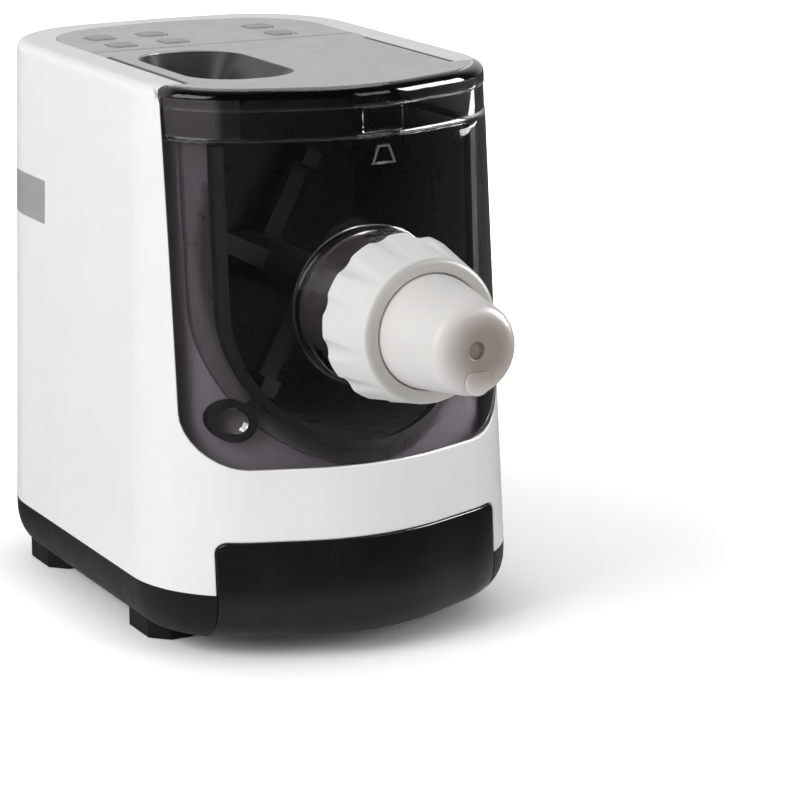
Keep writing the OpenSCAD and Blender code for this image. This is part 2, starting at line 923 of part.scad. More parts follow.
module idler_gear() {
  color(ivory) {
    gear(slow_y - 0.5, idler_z, pinion_teeth, slow_module, slow_face + 1, 3 + fit, 90 - 180 / pinion_teeth);
    gear(fast_y, idler_z, fast_teeth, fast_module, fast_face, 3 + fit, -90);
    along_axis(fast_y + eps, idler_z)
      ring(8, 3 + fit, fast_y - slow_y - slow_face - 0.5 + 2 * eps);
  }
}

module output_gear() {
  color(steel)
    gear(slow_y, axis_z, slow_teeth, slow_module, slow_face, shaft_r + 0.02, -90);
}

module drive_shaft() {
  color(steel) {
    along_axis(cover_y + 2)
      cylinder(r = shaft_r, h = cover_y + 2 + 2.7);
    along_axis(-2.7 + eps)
      cylinder(r = shaft_r - 1, h = 20, $fn = 6);
  }
}

module motor_case() {
  end_t = 3;
  color("#8b8d90")
    difference() {
      along_axis(motor_y + motor_len, motor_z)
        cylinder(r = motor_r, h = motor_len);
      along_axis(motor_y + motor_len - end_t, motor_z)
        cylinder(r = motor_r - 2, h = motor_len - 2 * end_t);
      along_axis(far, motor_z)
        cylinder(r = motor_shaft_r + fit, h = 2 * far);
      // cooling slots in the rear end
      for (a = [0:60:300])
        along_axis(motor_y + motor_len + 1, motor_z)
          rotate(a)
            translate([14, -2.5, 0])
              cube([12, 5, end_t + 2]);
    }
}

module motor_stator() {
  color("#6d5036")
    along_axis(motor_y + motor_len - 12, motor_z)
      ring(motor_r - 2 - 0.02, 22, motor_len - 24);
}

module motor_rotor() {
  color(steel) {
    along_axis(fan_y + fan_len + 2, motor_z)
      cylinder(r = motor_shaft_r, h = fan_y + fan_len + 2 - fast_y + 1);
    along_axis(motor_y + motor_len - 13, motor_z)
      cylinder(r = 21, h = motor_len - 26);
  }
}

module motor_pinion() {
  color(brass)
    gear(
      fast_y - 0.5, motor_z, pinion_teeth, fast_module, fast_face + 1, motor_shaft_r + 0.02,
      90 - 180 / pinion_teeth
    );
}

module cooling_fan() {
  color("#3a3a3d")
    along_axis(fan_y + fan_len, motor_z)
      difference() {
        union() {
          cylinder(r = 10, h = fan_len);
          for (a = [0:45:315])
            rotate(a)
              translate([5, 0, fan_len / 2])
                rotate([35, 0, 0])
                  translate([0, -4, -0.8])
                    cube([fan_r - 5, 8, 1.6]);
        }
        translate([0, 0, -1])
          cylinder(r = motor_shaft_r + 0.02, h = fan_len + 2);
      }
}

stand_w = 52;
stand_wall = 8;

module motor_stand() {
  motor_bottom = motor_z - motor_r;
  color(charcoal)
    difference() {
      translate([-stand_w / 2, motor_y + motor_len / 4, base_floor])
        cube([stand_w, motor_len / 2, motor_bottom + stand_wall - base_floor]);
      along_axis(far, motor_z)
        cylinder(r = motor_r + fit, h = 2 * far);
      translate([stand_wall - stand_w / 2, 0, base_floor + 4])
        cube([stand_w - 2 * stand_wall, far, motor_bottom - base_floor - 10]);
    }
}

// ---------- auger and paddle ----------

auger_rear = -3;
auger_front = barrel_y + 3;
flight_len = 58;
flight_turns = 2;

module auger() {
  color(ivory)
    difference() {
      union() {
        along_axis(auger_rear)
          cylinder(r = core_r, h = auger_rear - auger_front);
        along_axis(auger_front + flight_len)
          linear_extrude(height = flight_len, twist = -360 * flight_turns, slices = 56, segments = 6)
            polygon(concat(
              [[0, 0]],
              [for (a = [0:14:42]) (barrel_bore_r - 0.6) * [cos(a), sin(a)]]
            ));
      }
      along_axis(auger_rear + eps)
        cylinder(r = shaft_r - 1 + fit, h = 20.5, $fn = 6);
    }
}

arm_y = [-26, -56, -86, -116];
arm_turn = [62, 152, 242, 332];
arm_w = 10;
arm_t = 7;
blade_len = 22;

module mixing_paddle() {
  tip = bowl_r - paddle_gap;
  color("#5a5a5e")
    difference() {
      union() {
        along_axis(-14)
          cylinder(r = core_r + 4, h = 112);
        for (i = [0:3])
          along_axis(arm_y[i] + arm_t / 2)
            rotate(arm_turn[i])
              intersection() {
                union() {
                  translate([0, -arm_w / 2, 0])
                    cube([tip + 2, arm_w, arm_t]);
                  translate([tip - 9, -arm_w / 2, arm_t / 2 - blade_len / 2])
                    cube([12, arm_w, blade_len]);
                }
                translate([0, 0, -blade_len])
                  cylinder(r = tip, h = 3 * blade_len);
              }
      }
      along_axis(0)
        cylinder(r = core_r + 0.02, h = far);
    }
}

// ---------- front cover, barrel, die and nut ----------

module front_cover() {
  top = skirt_line - gap;
  color(smoked, 0.75)
    difference() {
      union() {
        // curved skin
        difference() {
          intersection() {
            slab(cover_bottom - 1, top, 0);
            through_front()
              window_2d(0, top + 1);
          }
          slab(cover_bottom - 5, top + 5, cover_t);
        }
        // collar in front, and the boss behind it
        along_axis(face_y + 12)
          cylinder(r = collar_r, h = collar_len + 12);
        // round post inside the gasket's ear
        difference() {
          intersection() {
            slab(cover_bottom, top, 1);
            through_front(-60)
              translate([ear_x, ear_z])
                circle(r = 6, $fn = 48);
          }
          slab(cover_bottom - 1, top + 1, cover_t + gasket_t);
        }
        // clear catch under the lid's latch
        difference() {
          intersection() {
            slab(skirt_line - 24.7, skirt_line - 2.7, -1.4);
            through_front()
              translate([14, skirt_line - 13.7])
                polygon([[-8.5, 0], [8.5, 0], [5, 9], [-5, 9]]);
          }
          slab(skirt_line - 30, skirt_line, cover_t);
        }
      }
      along_axis(far / 2)
        cylinder(r = barrel_r + 1 + 0.02, h = far);
    }
}

module extruder_barrel() {
  color("#d9d8d4")
    difference() {
      union() {
        along_axis(face_y + 16)
          cylinder(r = collar_r - 2, h = 4);
        along_axis(face_y + 16)
          cylinder(r = barrel_r + 1, h = 16 + collar_len);
        along_axis(face_y + 16)
          cylinder(r = barrel_r, h = face_y + 16 - barrel_y);
      }
      along_axis(far)
        cylinder(r = barrel_bore_r, h = 2 * far);
      along_axis(barrel_y + 1.2)
        cylinder(r = barrel_bore_r + 2.5, h = 10);
    }
}

module die_seal() {
  color("#1d1d1f")
    along_axis(barrel_y + 1.2)
      ring(barrel_bore_r + 2.45, barrel_bore_r, 1);
}

module bowl_gasket() {
  color("#161618")
    difference() {
      intersection() {
        slab(cover_bottom, bowl_top, cover_t);
        through_front(-60)
          difference() {
            union() {
              translate([0, axis_z])
                u_shape(bowl_r + gasket_w);
              // ear round the post of the cover, and its arm
              translate([ear_x, ear_z])
                circle(r = 10.5, $fn = 48);
              translate([0, axis_z])
                rotate(ear_angle)
                  translate([bowl_r, -2])
                    square([ear_place - bowl_r, 4]);
            }
            translate([0, axis_z])
              circle(bowl_r);
            translate([-bowl_r, axis_z])
              square([2 * bowl_r, far]);
            translate([ear_x, ear_z])
              circle(r = 7, $fn = 48);
          }
      }
      slab(cover_bottom - 1, bowl_top + 1, cover_t + gasket_t);
    }
}

die_flange_t = 4;
die_flange_r = barrel_r - 0.2;
die_len = barrel_y - die_y;
hole_rows = 5;
hole_angles = [-28, -14, 0, 14, 28];

module die() {
  tip_fillet = 4;
  color(ivory)
    along_axis(barrel_y)
      difference() {
        union() {
          rotate_extrude($fn = 96)
            polygon(concat(
              [[0, 0], [die_flange_r, 0], [die_flange_r, die_flange_t],
                [die_root_r, die_flange_t + 0.4], [die_root_r, barrel_y - nut_y]],
              [for (a = [0:15:90])
                [die_tip_r - tip_fillet * (1 - cos(a)), die_len - tip_fillet * (1 - sin(a))]],
              [[0, die_len]]
            ));
          translate([0, -14.8, die_len - 1])
            cylinder(r = 6.6, h = 1 + knob_len);
        }
        // hollow inside
        translate([0, 0, -eps])
          cylinder(r1 = die_root_r - 5, r2 = die_tip_r - 5, h = die_len - 6);
        // dimple in the tip and the flat of the key
        translate([0, 0, die_len - 3])
          cylinder(r = 4.3, h = 10);
        translate([-10, -9.6, die_len])
          cube([20, 20, 10]);
        // pasta holes through the underside
        for (i = [0:hole_rows - 1], a = hole_angles)
          translate([0, 0, barrel_y - nut_y + 5 + 6 * i + (abs(a) == 14 ? 3 : 0)])
            rotate([90, 0, a])
              translate([0, 0, 8])
                cylinder(d = pasta_hole_d, h = 30, $fn = 24);
      }
}

module nut() {
  inner = barrel_r + 0.4;
  shoulder = collar_y - barrel_y + die_flange_t + 0.2;
  color(ivory)
    along_axis(collar_y - 0.2)
      difference() {
        rotate_extrude($fn = 96)
          polygon(concat(
            [[nut_back_r - 1.5, 0], [nut_back_r, 1.5]],
            [for (a = [0:15:90])
              [nut_front_r - 3 * (1 - cos(a)), nut_len - 3 * (1 - sin(a))]],
            [[20, nut_len], [20, 0]]
          ));
        translate([0, 0, -1])
          cylinder(r = inner, h = 1 + shoulder);
        translate([0, 0, -1])
          cylinder(r = nut_mouth_r, h = far);
        for (i = [0:flute_count - 1])
          rotate(360 * (i + 0.5) / flute_count)
            translate([nut_back_r + 6.2, 0, -2])
              rotate([0, -6.5, 0])
                cylinder(r = 8, h = nut_len * 0.9);
      }
}

// ---------- lid ----------

funnel_rim = 3; // width of the funnel's rim under the plate

module pour_plan(grow) {
  translate([pour_x, pour_y])
    round_rect(pour_w + 2 * grow, pour_d + 2 * grow, pour_r + grow);
}

module lid_panel() {
  slot_w = 3.6;
  color(grey_panel)
    difference() {
      union() {
        translate([0, 0, plate_under])
          linear_extrude(height = plate_t)
            intersection() {
              union() {
                intersection() {
                  top_opening_2d(0);
                  translate([-far / 2, -far])
                    square([far, far + hinge_y]);
                }
                lid_nose_2d(-gap);
              }
              polygon(outline(body_h, top_fillet + 0.3));
            }
        // rounded rear edge round the hinge pins
        translate([0, hinge_y, hinge_z])
          rotate([0, 90, 0])
            cylinder(r = hinge_r, h = 2 * panel_half_w, center = true);
      }
      translate([0, hinge_y, hinge_z])
        rotate([0, 90, 0])
          for (s = [0, 1])
            mirror([0, 0, s])
              translate([0, 0, panel_half_w - 10])
                cylinder(r = pin_r + fit, h = 12);
      // long slots beside both edges
      for (s = [-1, 1])
        translate([s * (panel_half_w + 0.5 - slot_w / 2), -(half_depth + 7.2) / 2, plate_under])
          cube([slot_w + 1, half_depth - 8.8, 20], center = true);
      translate([0, 0, plate_under - 1])
        linear_extrude(height = 20)
          pour_plan(0);
    }
}

module lid_skirt() {
  flange_t = 2.4;
  color(smoked, 0.75)
    difference() {
      intersection() {
        loft(concat([[skirt_line, 0]], [for (l = shell_levels) if (l[0] > skirt_line) l]));
        translate([0, 0, skirt_line])
          linear_extrude(height = far)
            lid_nose_2d(0);
      }
      slab(skirt_line - 1, plate_under - flange_t, cover_t);
      linear_extrude(height = far)
        pour_plan(funnel_rim + gap);
      // rebate for the grey plate
      translate([0, 0, plate_under])
        linear_extrude(height = 20)
          polygon(outline(body_h, top_fillet));
      through_front()
        translate([latch_x, latch_z])
          square([latch_w + 2 * latch_gap, latch_h + 2 * latch_gap], center = true);
    }
}

latch_x = 8.5;
latch_z = skirt_line + 8.3;
latch_w = 23;
latch_h = 12;
latch_gap = 0.4;
latch_travel = 2;

module latch_button() {
  color(smoked, 0.8)
    difference() {
      union() {
        intersection() {
          slab(latch_z - latch_h / 2, latch_z + latch_h / 2, 0);
          through_front()
            translate([latch_x, latch_z])
              square([latch_w, latch_h], center = true);
        }
        intersection() {
          slab(latch_z - latch_h / 2 - 1.6, latch_z + latch_h / 2 + 1.6, cover_t + gap);
          through_front()
            translate([latch_x, latch_z])
              square([latch_w + 5, far], center = true);
        }
      }
      slab(skirt_line - 20, body_h, cover_t + gap + 1.6);
    }
}

module pour_funnel() {
  rim = plate_under - 2.2;
  low = plate_under - funnel_h;
  wall_t = 2;
  color(smoked, 0.8)
    difference() {
      union() {
        translate([0, 0, rim])
          linear_extrude(height = 2.2)
            pour_plan(funnel_rim);
        hull() {
          translate([0, 0, rim])
            linear_extrude(height = 0.5)
              pour_plan(wall_t - 1);
          translate([pour_x, pour_y + 24, low])
            linear_extrude(height = 0.5)
              round_rect(26 + 2 * wall_t, 20 + 2 * wall_t, 5);
        }
      }
      hull() {
        translate([0, 0, plate_under + eps])
          linear_extrude(height = 0.5)
            pour_plan(-1);
        translate([pour_x, pour_y + 24, low - eps])
          linear_extrude(height = 0.5)
            round_rect(26, 20, 4);
      }
    }
}

module lid_hinge_pins() {
  color(steel)
    for (s = [-1, 1])
      translate([s * (panel_half_w + 0.5), hinge_y, hinge_z])
        rotate([0, 90, 0])
          cylinder(r = pin_r, h = 18, center = true);
}

// ---------- drawer ----------

drawer_floor = base_floor + 2.5;
tray_half_w = drawer_half_w - 5;
tray_top = drawer_top - 5;

drawer_levels = concat(base_levels, [[drawer_top + 5, 0]]);

module drawer_front() {
  color("#1b1b1d")
    difference() {
      intersection() {
        loft(drawer_levels);
        through_front()
          drawer_2d(0);
      }
      loft(drawer_levels, cover_t);
    }
}

module drawer_tray() {
  color(charcoal)
    difference() {
      intersection() {
        translate([-tray_half_w, -far, drawer_floor])
          cube([2 * tray_half_w, far - drawer_back, tray_top - drawer_floor]);
        loft(drawer_levels, cover_t);
      }
      intersection() {
        translate([-tray_half_w + drawer_wall, -far, drawer_floor + drawer_wall])
          cube([2 * (tray_half_w - drawer_wall), far - drawer_back - drawer_wall, far]);
        loft(drawer_levels, cover_t + drawer_wall);
      }
    }
}

module drawer_rails() {
  color(charcoal)
    for (s = [-1, 1])
      mirror([s > 0 ? 0 : 1, 0, 0])
        translate([0, -110, base_floor]) {
          translate([tray_half_w - 8, 0, 0])
            cube([8 + gap + eps, 110 - drawer_back, drawer_floor - base_floor - gap]);
          translate([tray_half_w + gap, 0, 0])
            cube([2.5, 110 - drawer_back, 14]);
        }
}

// ---------- the machine ----------

// Moves the middle of the body so that the origin is under the middle of the whole machine
module placed() {
  translate([0, frame_y, 0])
    children();
}

placed() housing_shell();
placed() base_tray();
placed() feet();
placed() foot_screws();
placed() rear_grip_band();
placed() control_panel();
placed() button(button_x[0], button_y[0]);  // button_left_rear
placed() button(button_x[0], button_y[1]);  // button_left_front
placed() button(button_x[1], button_y[0]);  // button_middle_rear
placed() button(button_x[1], button_y[1]);  // button_middle_front
placed() button(button_x[2], button_y[0]);  // button_right_rear
placed() button(button_x[2], button_y[1]);  // button_right_front
placed() control_board();
placed() board_screws();
placed() power_board();
placed() power_inlet();
placed() inlet_pins();
placed() bulkhead();
placed() bay_liner();
placed() mixing_bowl();
placed() shaft_seal();
placed() gearbox_housing();
placed() gearbox_cover();
placed() gearbox_screws();
placed() shaft_bearings();
placed() idler_axle();
placed() idler_gear();
placed() output_gear();
placed() drive_shaft();
placed() auger();
placed() mixing_paddle();
placed() motor_case();
placed() motor_stator();
placed() motor_stand();
placed() motor_rotor();
placed() motor_pinion();
placed() cooling_fan();
placed() front_cover();
placed() extruder_barrel();
placed() bowl_gasket();
placed() die_seal();
placed() die();
placed() nut();
placed() lid_panel();
placed() lid_skirt();
placed() pour_funnel();
placed() lid_hinge_pins();
placed() latch_button();
placed() drawer_front();
placed() drawer_tray();
placed() drawer_rails();
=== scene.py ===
"""Electric pasta maker: smooth shells, finishes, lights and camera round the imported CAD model.

Sizes are in millimetres, in the machine's own plan, where y = 0 is the middle of the body.
Meshes are turned into metres in the row frame when they are made.
"""
import math

import bmesh
import bpy
import numpy as np
from mathutils import Matrix, Vector
from mathutils.geometry import delaunay_2d_cdt

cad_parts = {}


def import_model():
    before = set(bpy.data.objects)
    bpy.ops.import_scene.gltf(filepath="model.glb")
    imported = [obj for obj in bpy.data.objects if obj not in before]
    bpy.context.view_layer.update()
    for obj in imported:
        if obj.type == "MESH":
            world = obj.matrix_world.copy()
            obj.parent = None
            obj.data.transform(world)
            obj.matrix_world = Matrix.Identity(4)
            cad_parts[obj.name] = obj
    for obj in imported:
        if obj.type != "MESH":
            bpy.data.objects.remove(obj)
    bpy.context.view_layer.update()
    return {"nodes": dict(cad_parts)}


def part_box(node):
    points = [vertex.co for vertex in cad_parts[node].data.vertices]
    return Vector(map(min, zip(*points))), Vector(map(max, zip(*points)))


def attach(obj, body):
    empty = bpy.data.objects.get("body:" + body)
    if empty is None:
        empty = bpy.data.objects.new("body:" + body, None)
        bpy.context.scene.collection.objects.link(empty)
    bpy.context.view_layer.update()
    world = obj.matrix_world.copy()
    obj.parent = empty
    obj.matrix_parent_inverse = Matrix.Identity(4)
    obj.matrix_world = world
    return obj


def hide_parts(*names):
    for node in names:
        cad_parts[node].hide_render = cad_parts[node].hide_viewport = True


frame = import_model()
nodes = frame["nodes"]

MM = 0.001

# ---------- driving dimensions ----------

# Body outline
BODY_W = 191.0
BODY_H = 290.0
HALF_DEPTH = 106.8
FRONT_BOW = 49.0
REAR_BOW = 9.4
FRONT_R = 63.4
REAR_R = 58.9
SIDE_DRAFT = 0.032
FRONT_LEAN = 0.046
REAR_LEAN = 0.005
WALL = 2.8
TOP_FILLET = 5.0
BASE_LINE = 37.6
BASE_BOTTOM = 12.5
BASE_TUCK = 9.0
GAP = 0.3

# Nozzle
AXIS_Z = 180.5
COLLAR_R = 39.0
BORE_R = 31.3
NUT_LEN = 34.9
NUT_BACK_R = 42.0
NUT_FRONT_R = 36.0
NUT_MOUTH_R = 28.7
NUT_BORE_R = 30.4
FLUTES = 12
FLUTE_R = 8.0
DIE_ROOT_R = 28.1
DIE_TIP_R = 22.4
KEY_R = 6.6
KEY_PROUD = 1.6

# Front cover, lid and panel
COVER_HALF_W = 90.0
COVER_BOTTOM = 101.8
COVER_R = 27.0
COVER_T = 3.0
SKIRT_LINE = 264.7
LID_FRONT = -(HALF_DEPTH - 0.3)
PANEL_HALF_W = 76.0
PANEL_REAR = 80.0
PANEL_BOW = 18.0
PANEL_R = 45.0
PLATE_T = 3.0
PLATE_UNDER = BODY_H - PLATE_T
HINGE_Y = 6.5
HINGE_R = 4.0
POUR_X, POUR_Y = -36.0, -56.5
POUR_W, POUR_D, POUR_R = 58.0, 103.0, 26.0
FUNNEL_H = 24.0
THROAT_W, THROAT_D, THROAT_R = 26.0, 20.0, 5.0
THROAT_Y = POUR_Y + 24
PANEL_FRONT = 11.0
BUTTON = 14.4
BUTTON_R = 3.4
BUTTONS = [
    (-52, 56, "button_left_rear"), (-52, 27, "button_left_front"), (-22, 56, "button_middle_rear"),
    (-22, 27, "button_middle_front"), (41, 56, "button_right_rear"), (41, 27, "button_right_front"),
]
# Middle (x, z) of the latch and of the post in the gasket's ear, and x of the catch
LATCH = (8.5, 273.0)
EAR = (-67.5, 125.8)
CATCH_X = 7.0

# Drawer
DRAWER_HALF_W = 79.0
DRAWER_TOP = 64.7
DRAWER_R = 5.5

# Sides and back
BAND_LOW = BODY_H - 91.6
BAND_HIGH = BODY_H - 68.6
BAND_FRONT = HALF_DEPTH - 80.1
BAND_T = 1.4
VENTS = 13
VENT_PITCH = 6.0
VENT_W = 3.0
VENT_LOW, VENT_HIGH = 84.0, 130.0
INLET_HALF_W = 15.7
INLET_LOW, INLET_HIGH = 38.8, 63.2

# The middle of the body in the row frame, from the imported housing
REAR_EDGE = HALF_DEPTH + REAR_LEAN * (BODY_H - BASE_LINE) + REAR_BOW
BODY_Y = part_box("housing_shell")[1].y / MM - REAR_EDGE
NUT_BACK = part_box("nut")[1].y / MM - BODY_Y
DIE_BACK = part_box("die")[1].y / MM - BODY_Y
DIE_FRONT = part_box("die")[0].y / MM - BODY_Y
COLLAR_FRONT = NUT_BACK + 0.2
NUT_FACE = COLLAR_FRONT - NUT_LEN

# Points of a mesh that lie closer than this become one
WELD = 0.003
# Planes for tools that cut right through: in front of the machine, inside its back and behind it
FAR_FRONT = -230.0
INNER_BACK = 90.0
FAR_BACK = 200.0


# ---------- meshes ----------

def arc(start, end, steps):
    """Angles in radians from start to end degrees, both included."""
    return [math.radians(start + (end - start) * k / steps) for k in range(steps + 1)]


class Solid:
    """Vertices and faces of one closed shape, in millimetres."""

    def __init__(self):
        self.verts = []
        self.faces = []

    def add(self, verts, faces):
        base = len(self.verts)
        self.verts.extend(tuple(v) for v in verts)
        self.faces.extend([tuple(i + base for i in f) for f in faces])
        return base

    def band(self, rings):
        """Quads between rings that have the same number of points."""
        n = len(rings[0])
        base = self.add(np.concatenate([np.asarray(r, float) for r in rings]), [])
        for k in range(len(rings) - 1):
            for i in range(n):
                a = base + k * n + i
                b = base + k * n + (i + 1) % n
                self.faces.append((a, b, b + n, a + n))

    def cap(self, ring, flip=False):
        """One flat face over a ring."""
        n = len(ring)
        order = range(n - 1, -1, -1) if flip else range(n)
        self.add(ring, [tuple(order)])


def loft(rings):
    """Closed solid through rings that run counter-clockwise seen from the last ring's side."""
    shape = Solid()
    shape.band(rings)
    shape.cap(rings[0], flip=True)
    shape.cap(rings[-1])
    return shape


def make(name, shapes):
    """Mesh object from one or more solids, welded and with its faces turned outwards."""
    shapes = shapes if isinstance(shapes, (list, tuple)) else [shapes]
    bm = bmesh.new()
    for shape in shapes:
        vs = [bm.verts.new((x * MM, (y + BODY_Y) * MM, z * MM)) for x, y, z in shape.verts]
        for f in shape.faces:
            bm.faces.new([vs[i] for i in f])
    bmesh.ops.remove_doubles(bm, verts=bm.verts, dist=WELD * MM)
    bmesh.ops.recalc_face_normals(bm, faces=bm.faces)
    mesh = bpy.data.meshes.new(name)
    bm.to_mesh(mesh)
    bm.free()
    obj = bpy.data.objects.new(name, mesh)
    bpy.context.scene.collection.objects.link(obj)
    return obj


def combine(obj, tool, operation="DIFFERENCE"):
    """Cuts tool out of obj, or joins it on, and removes the tool."""
    mod = obj.modifiers.new("boolean", "BOOLEAN")
    mod.operation = operation
    mod.solver = "MANIFOLD"
    mod.object = tool
    bake(obj)
    bpy.data.objects.remove(tool)
    return obj


def cutter(rings):
    """Tool for a cut, through rings of points."""
    return make("cutter", loft(rings))


def bake(obj):
    """Replaces a mesh by the result of its modifiers."""
    graph = bpy.context.evaluated_depsgraph_get()
    mesh = bpy.data.meshes.new_from_object(obj.evaluated_get(graph))
    mesh.name = obj.name
    obj.modifiers.clear()
    obj.data = mesh


def round_edges(obj, width, segments, angle):
    """Bevel modifier on the edges sharper than angle."""
    mod = obj.modifiers.new("edges", "BEVEL")
    mod.width = width * MM
    mod.segments = segments
    mod.limit_method = "ANGLE"
    mod.angle_limit = math.radians(angle)
    return mod


def weigh_normals(obj):
    obj.modifiers.new("normals", "WEIGHTED_NORMAL").keep_sharp = True


def shade(obj, angle, bevel=0.0):
    """Smooth shading with crisp edges above angle, and small rounded edges."""
    if bevel:
        round_edges(obj, bevel, 2, angle).miter_outer = "MITER_ARC"
        bake(obj)
    bm = bmesh.new()
    bm.from_mesh(obj.data)
    wide = [f for f in bm.faces if len(f.verts) > 4]
    bmesh.ops.triangulate(bm, faces=wide, ngon_method="BEAUTY")
    bm.to_mesh(obj.data)
    bm.free()
    for poly in obj.data.polygons:
        poly.use_smooth = True
    obj.data.set_sharp_from_angle(angle=math.radians(angle))
    weigh_normals(obj)


def soften(obj, width):
    """Rounds the sharp edges of a node or a piece."""
    obj.modifiers.new("weld", "WELD").merge_threshold = 0.02 * MM
    round_edges(obj, width, 3, 50)
    weigh_normals(obj)


def dress(obj, material, body, replaced=()):
    """Gives a piece its material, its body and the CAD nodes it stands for."""
    obj.data.materials.clear()
    obj.data.materials.append(material)
    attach(obj, body)
    if replaced:
        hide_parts(*replaced)
    return obj


# ---------- the body's outline ----------

def bowed(hw, yr, yf, br, bf, rr, rf, front=44, corner=22, rear=24):
    """Closed plan outline with straight sides, bowed front and back, and round corners."""
    cf, cr = hw - rf, hw - rr
    sf, sr = 2 * bf * cf / hw ** 2, 2 * br * cr / hw ** 2
    cyf = yf - bf * (1 - cf ** 2 / hw ** 2) + rf * math.sqrt(1 + sf ** 2)
    cyr = yr + br * (1 - cr ** 2 / hw ** 2) - rr * math.sqrt(1 + sr ** 2)
    af, ar = math.degrees(math.atan(sf)), math.degrees(math.atan(sr))
    xs = [-cf + 2 * cf * i / front for i in range(front + 1)]
    points = [(x, yf - bf * (1 - x * x / hw ** 2)) for x in xs]
    points += [(cf + rf * math.cos(a), cyf + rf * math.sin(a)) for a in arc(af - 90, 0, corner)]
    points += [(cr + rr * math.cos(a), cyr + rr * math.sin(a)) for a in arc(0, 90 - ar, corner)]
    xs = [cr - 2 * cr * i / rear for i in range(rear + 1)]
    points += [(x, yr + br * (1 - x * x / hw ** 2)) for x in xs]
    points += [(-cr + rr * math.cos(a), cyr + rr * math.sin(a)) for a in arc(90 + ar, 180, corner)]
    points += [(-cf + rf * math.cos(a), cyf + rf * math.sin(a)) for a in arc(180, 270 - af, corner)]
    return points


def outline(z, inset=0.0):
    """The body's outline at height z, drawn in by inset, as a ring of points."""
    down = BODY_H - z
    flat = bowed(
        BODY_W / 2 + SIDE_DRAFT * down - inset,
        HALF_DEPTH + REAR_LEAN * down - inset,
        -(HALF_DEPTH + FRONT_LEAN * down) + inset,
        REAR_BOW, FRONT_BOW, REAR_R - inset, FRONT_R - inset,
    )
    return [(x, y, z) for x, y in flat]


def front_y(x, z, inset):
    """Y of the body's front face at x and z, drawn in by inset. Takes numbers or arrays."""
    x, z, inset = np.broadcast_arrays(np.abs(x), z, inset)
    down = BODY_H - z
    hw = BODY_W / 2 + SIDE_DRAFT * down - inset
    yf = -(HALF_DEPTH + FRONT_LEAN * down) + inset
    rf = FRONT_R - inset
    cf = hw - rf
    slope = 2 * FRONT_BOW * cf / hw ** 2
    at_cf = yf - FRONT_BOW * (1 - cf ** 2 / hw ** 2)
    root = np.sqrt(1 + slope ** 2)
    corner = at_cf + rf * root - np.sqrt(np.clip(rf ** 2 - (x - cf) ** 2, 0, None))
    straight = at_cf + slope * (x - cf)
    bow = yf - FRONT_BOW * (1 - x ** 2 / hw ** 2)
    return np.where(x < cf, bow, np.where(x < cf + rf * slope / root, straight, corner))


def top_inset(z):
    """How far the rounded top edge draws in at height z."""
    up = np.clip(np.asarray(z, float) - (BODY_H - TOP_FILLET), 0, TOP_FILLET)
    return TOP_FILLET - np.sqrt(TOP_FILLET ** 2 - up ** 2)


def base_inset(z):
    """How far the rounded lower edge of the base draws in at height z."""
    z = np.asarray(z, float)
    share = np.clip((z - BASE_BOTTOM) / (BASE_LINE - BASE_BOTTOM), 0, 1)
    return BASE_TUCK * (1 - share) ** 3.3 + SIDE_DRAFT * np.clip(BASE_LINE - z, 0, None)


def on_front(flat, inset, skin=top_inset):
    """Points (x, z) laid on the body's front face, drawn in by inset below the skin."""
    flat = np.asarray(flat, float)
    x, z = flat[:, 0], flat[:, 1]
    return np.stack([x, front_y(x, z, skin(z) + inset), z], axis=1)


def split(a, b, steps):
    """Points from a towards b, in equal steps, without b."""
    return [(a[0] + (b[0] - a[0]) * i / steps, a[1] + (b[1] - a[1]) * i / steps)
            for i in range(steps)]


def panel_outline(x0, x1, z0, z1, radii, grow=0.0, across=48, up=30, steps=9):
    """Outline (x, z) of a rectangle with round corners, from the lower left corner onwards."""
    x0, x1, z0, z1 = x0 - grow, x1 + grow, z0 - grow, z1 + grow
    r = [max(q + grow, 0.05) for q in radii]
    centres = [
        (x0 + r[0], z0 + r[0]), (x1 - r[1], z0 + r[1]),
        (x1 - r[2], z1 - r[2]), (x0 + r[3], z1 - r[3]),
    ]
    points = []
    for k in range(4):
        a = [(centres[k][0] + r[k] * math.cos(t), centres[k][1] + r[k] * math.sin(t))
             for t in arc(180 + 90 * k, 270 + 90 * k, steps)]
        points += a
        k2 = (k + 1) % 4
        start = a[-1]
        t = math.radians(270 + 90 * k)
        end = (centres[k2][0] + r[k2] * math.cos(t), centres[k2][1] + r[k2] * math.sin(t))
        points += split(start, end, up if k % 2 else across)[1:]
    return points


def circle(r, count=96, x=0.0, z=AXIS_Z):
    """Outline (x, z) of a circle, round the nozzle axis unless told otherwise."""
    turns = [2 * math.pi * i / count for i in range(count)]
    return [(x + r * math.cos(t), z + r * math.sin(t)) for t in turns]


def inside(points, polygon):
    """Which of the points lie inside the polygon."""
    px, pz = points[:, 0][:, None], points[:, 1][:, None]
    a = np.asarray(polygon, float)
    b = np.roll(a, -1, axis=0)
    crosses = (a[:, 1] > pz) != (b[:, 1] > pz)
    with np.errstate(divide="ignore", invalid="ignore"):
        at = a[:, 0] + (pz - a[:, 1]) * (b[:, 0] - a[:, 0]) / (b[:, 1] - a[:, 1])
    return (np.sum(crosses & (px < at), axis=1) % 2) == 1


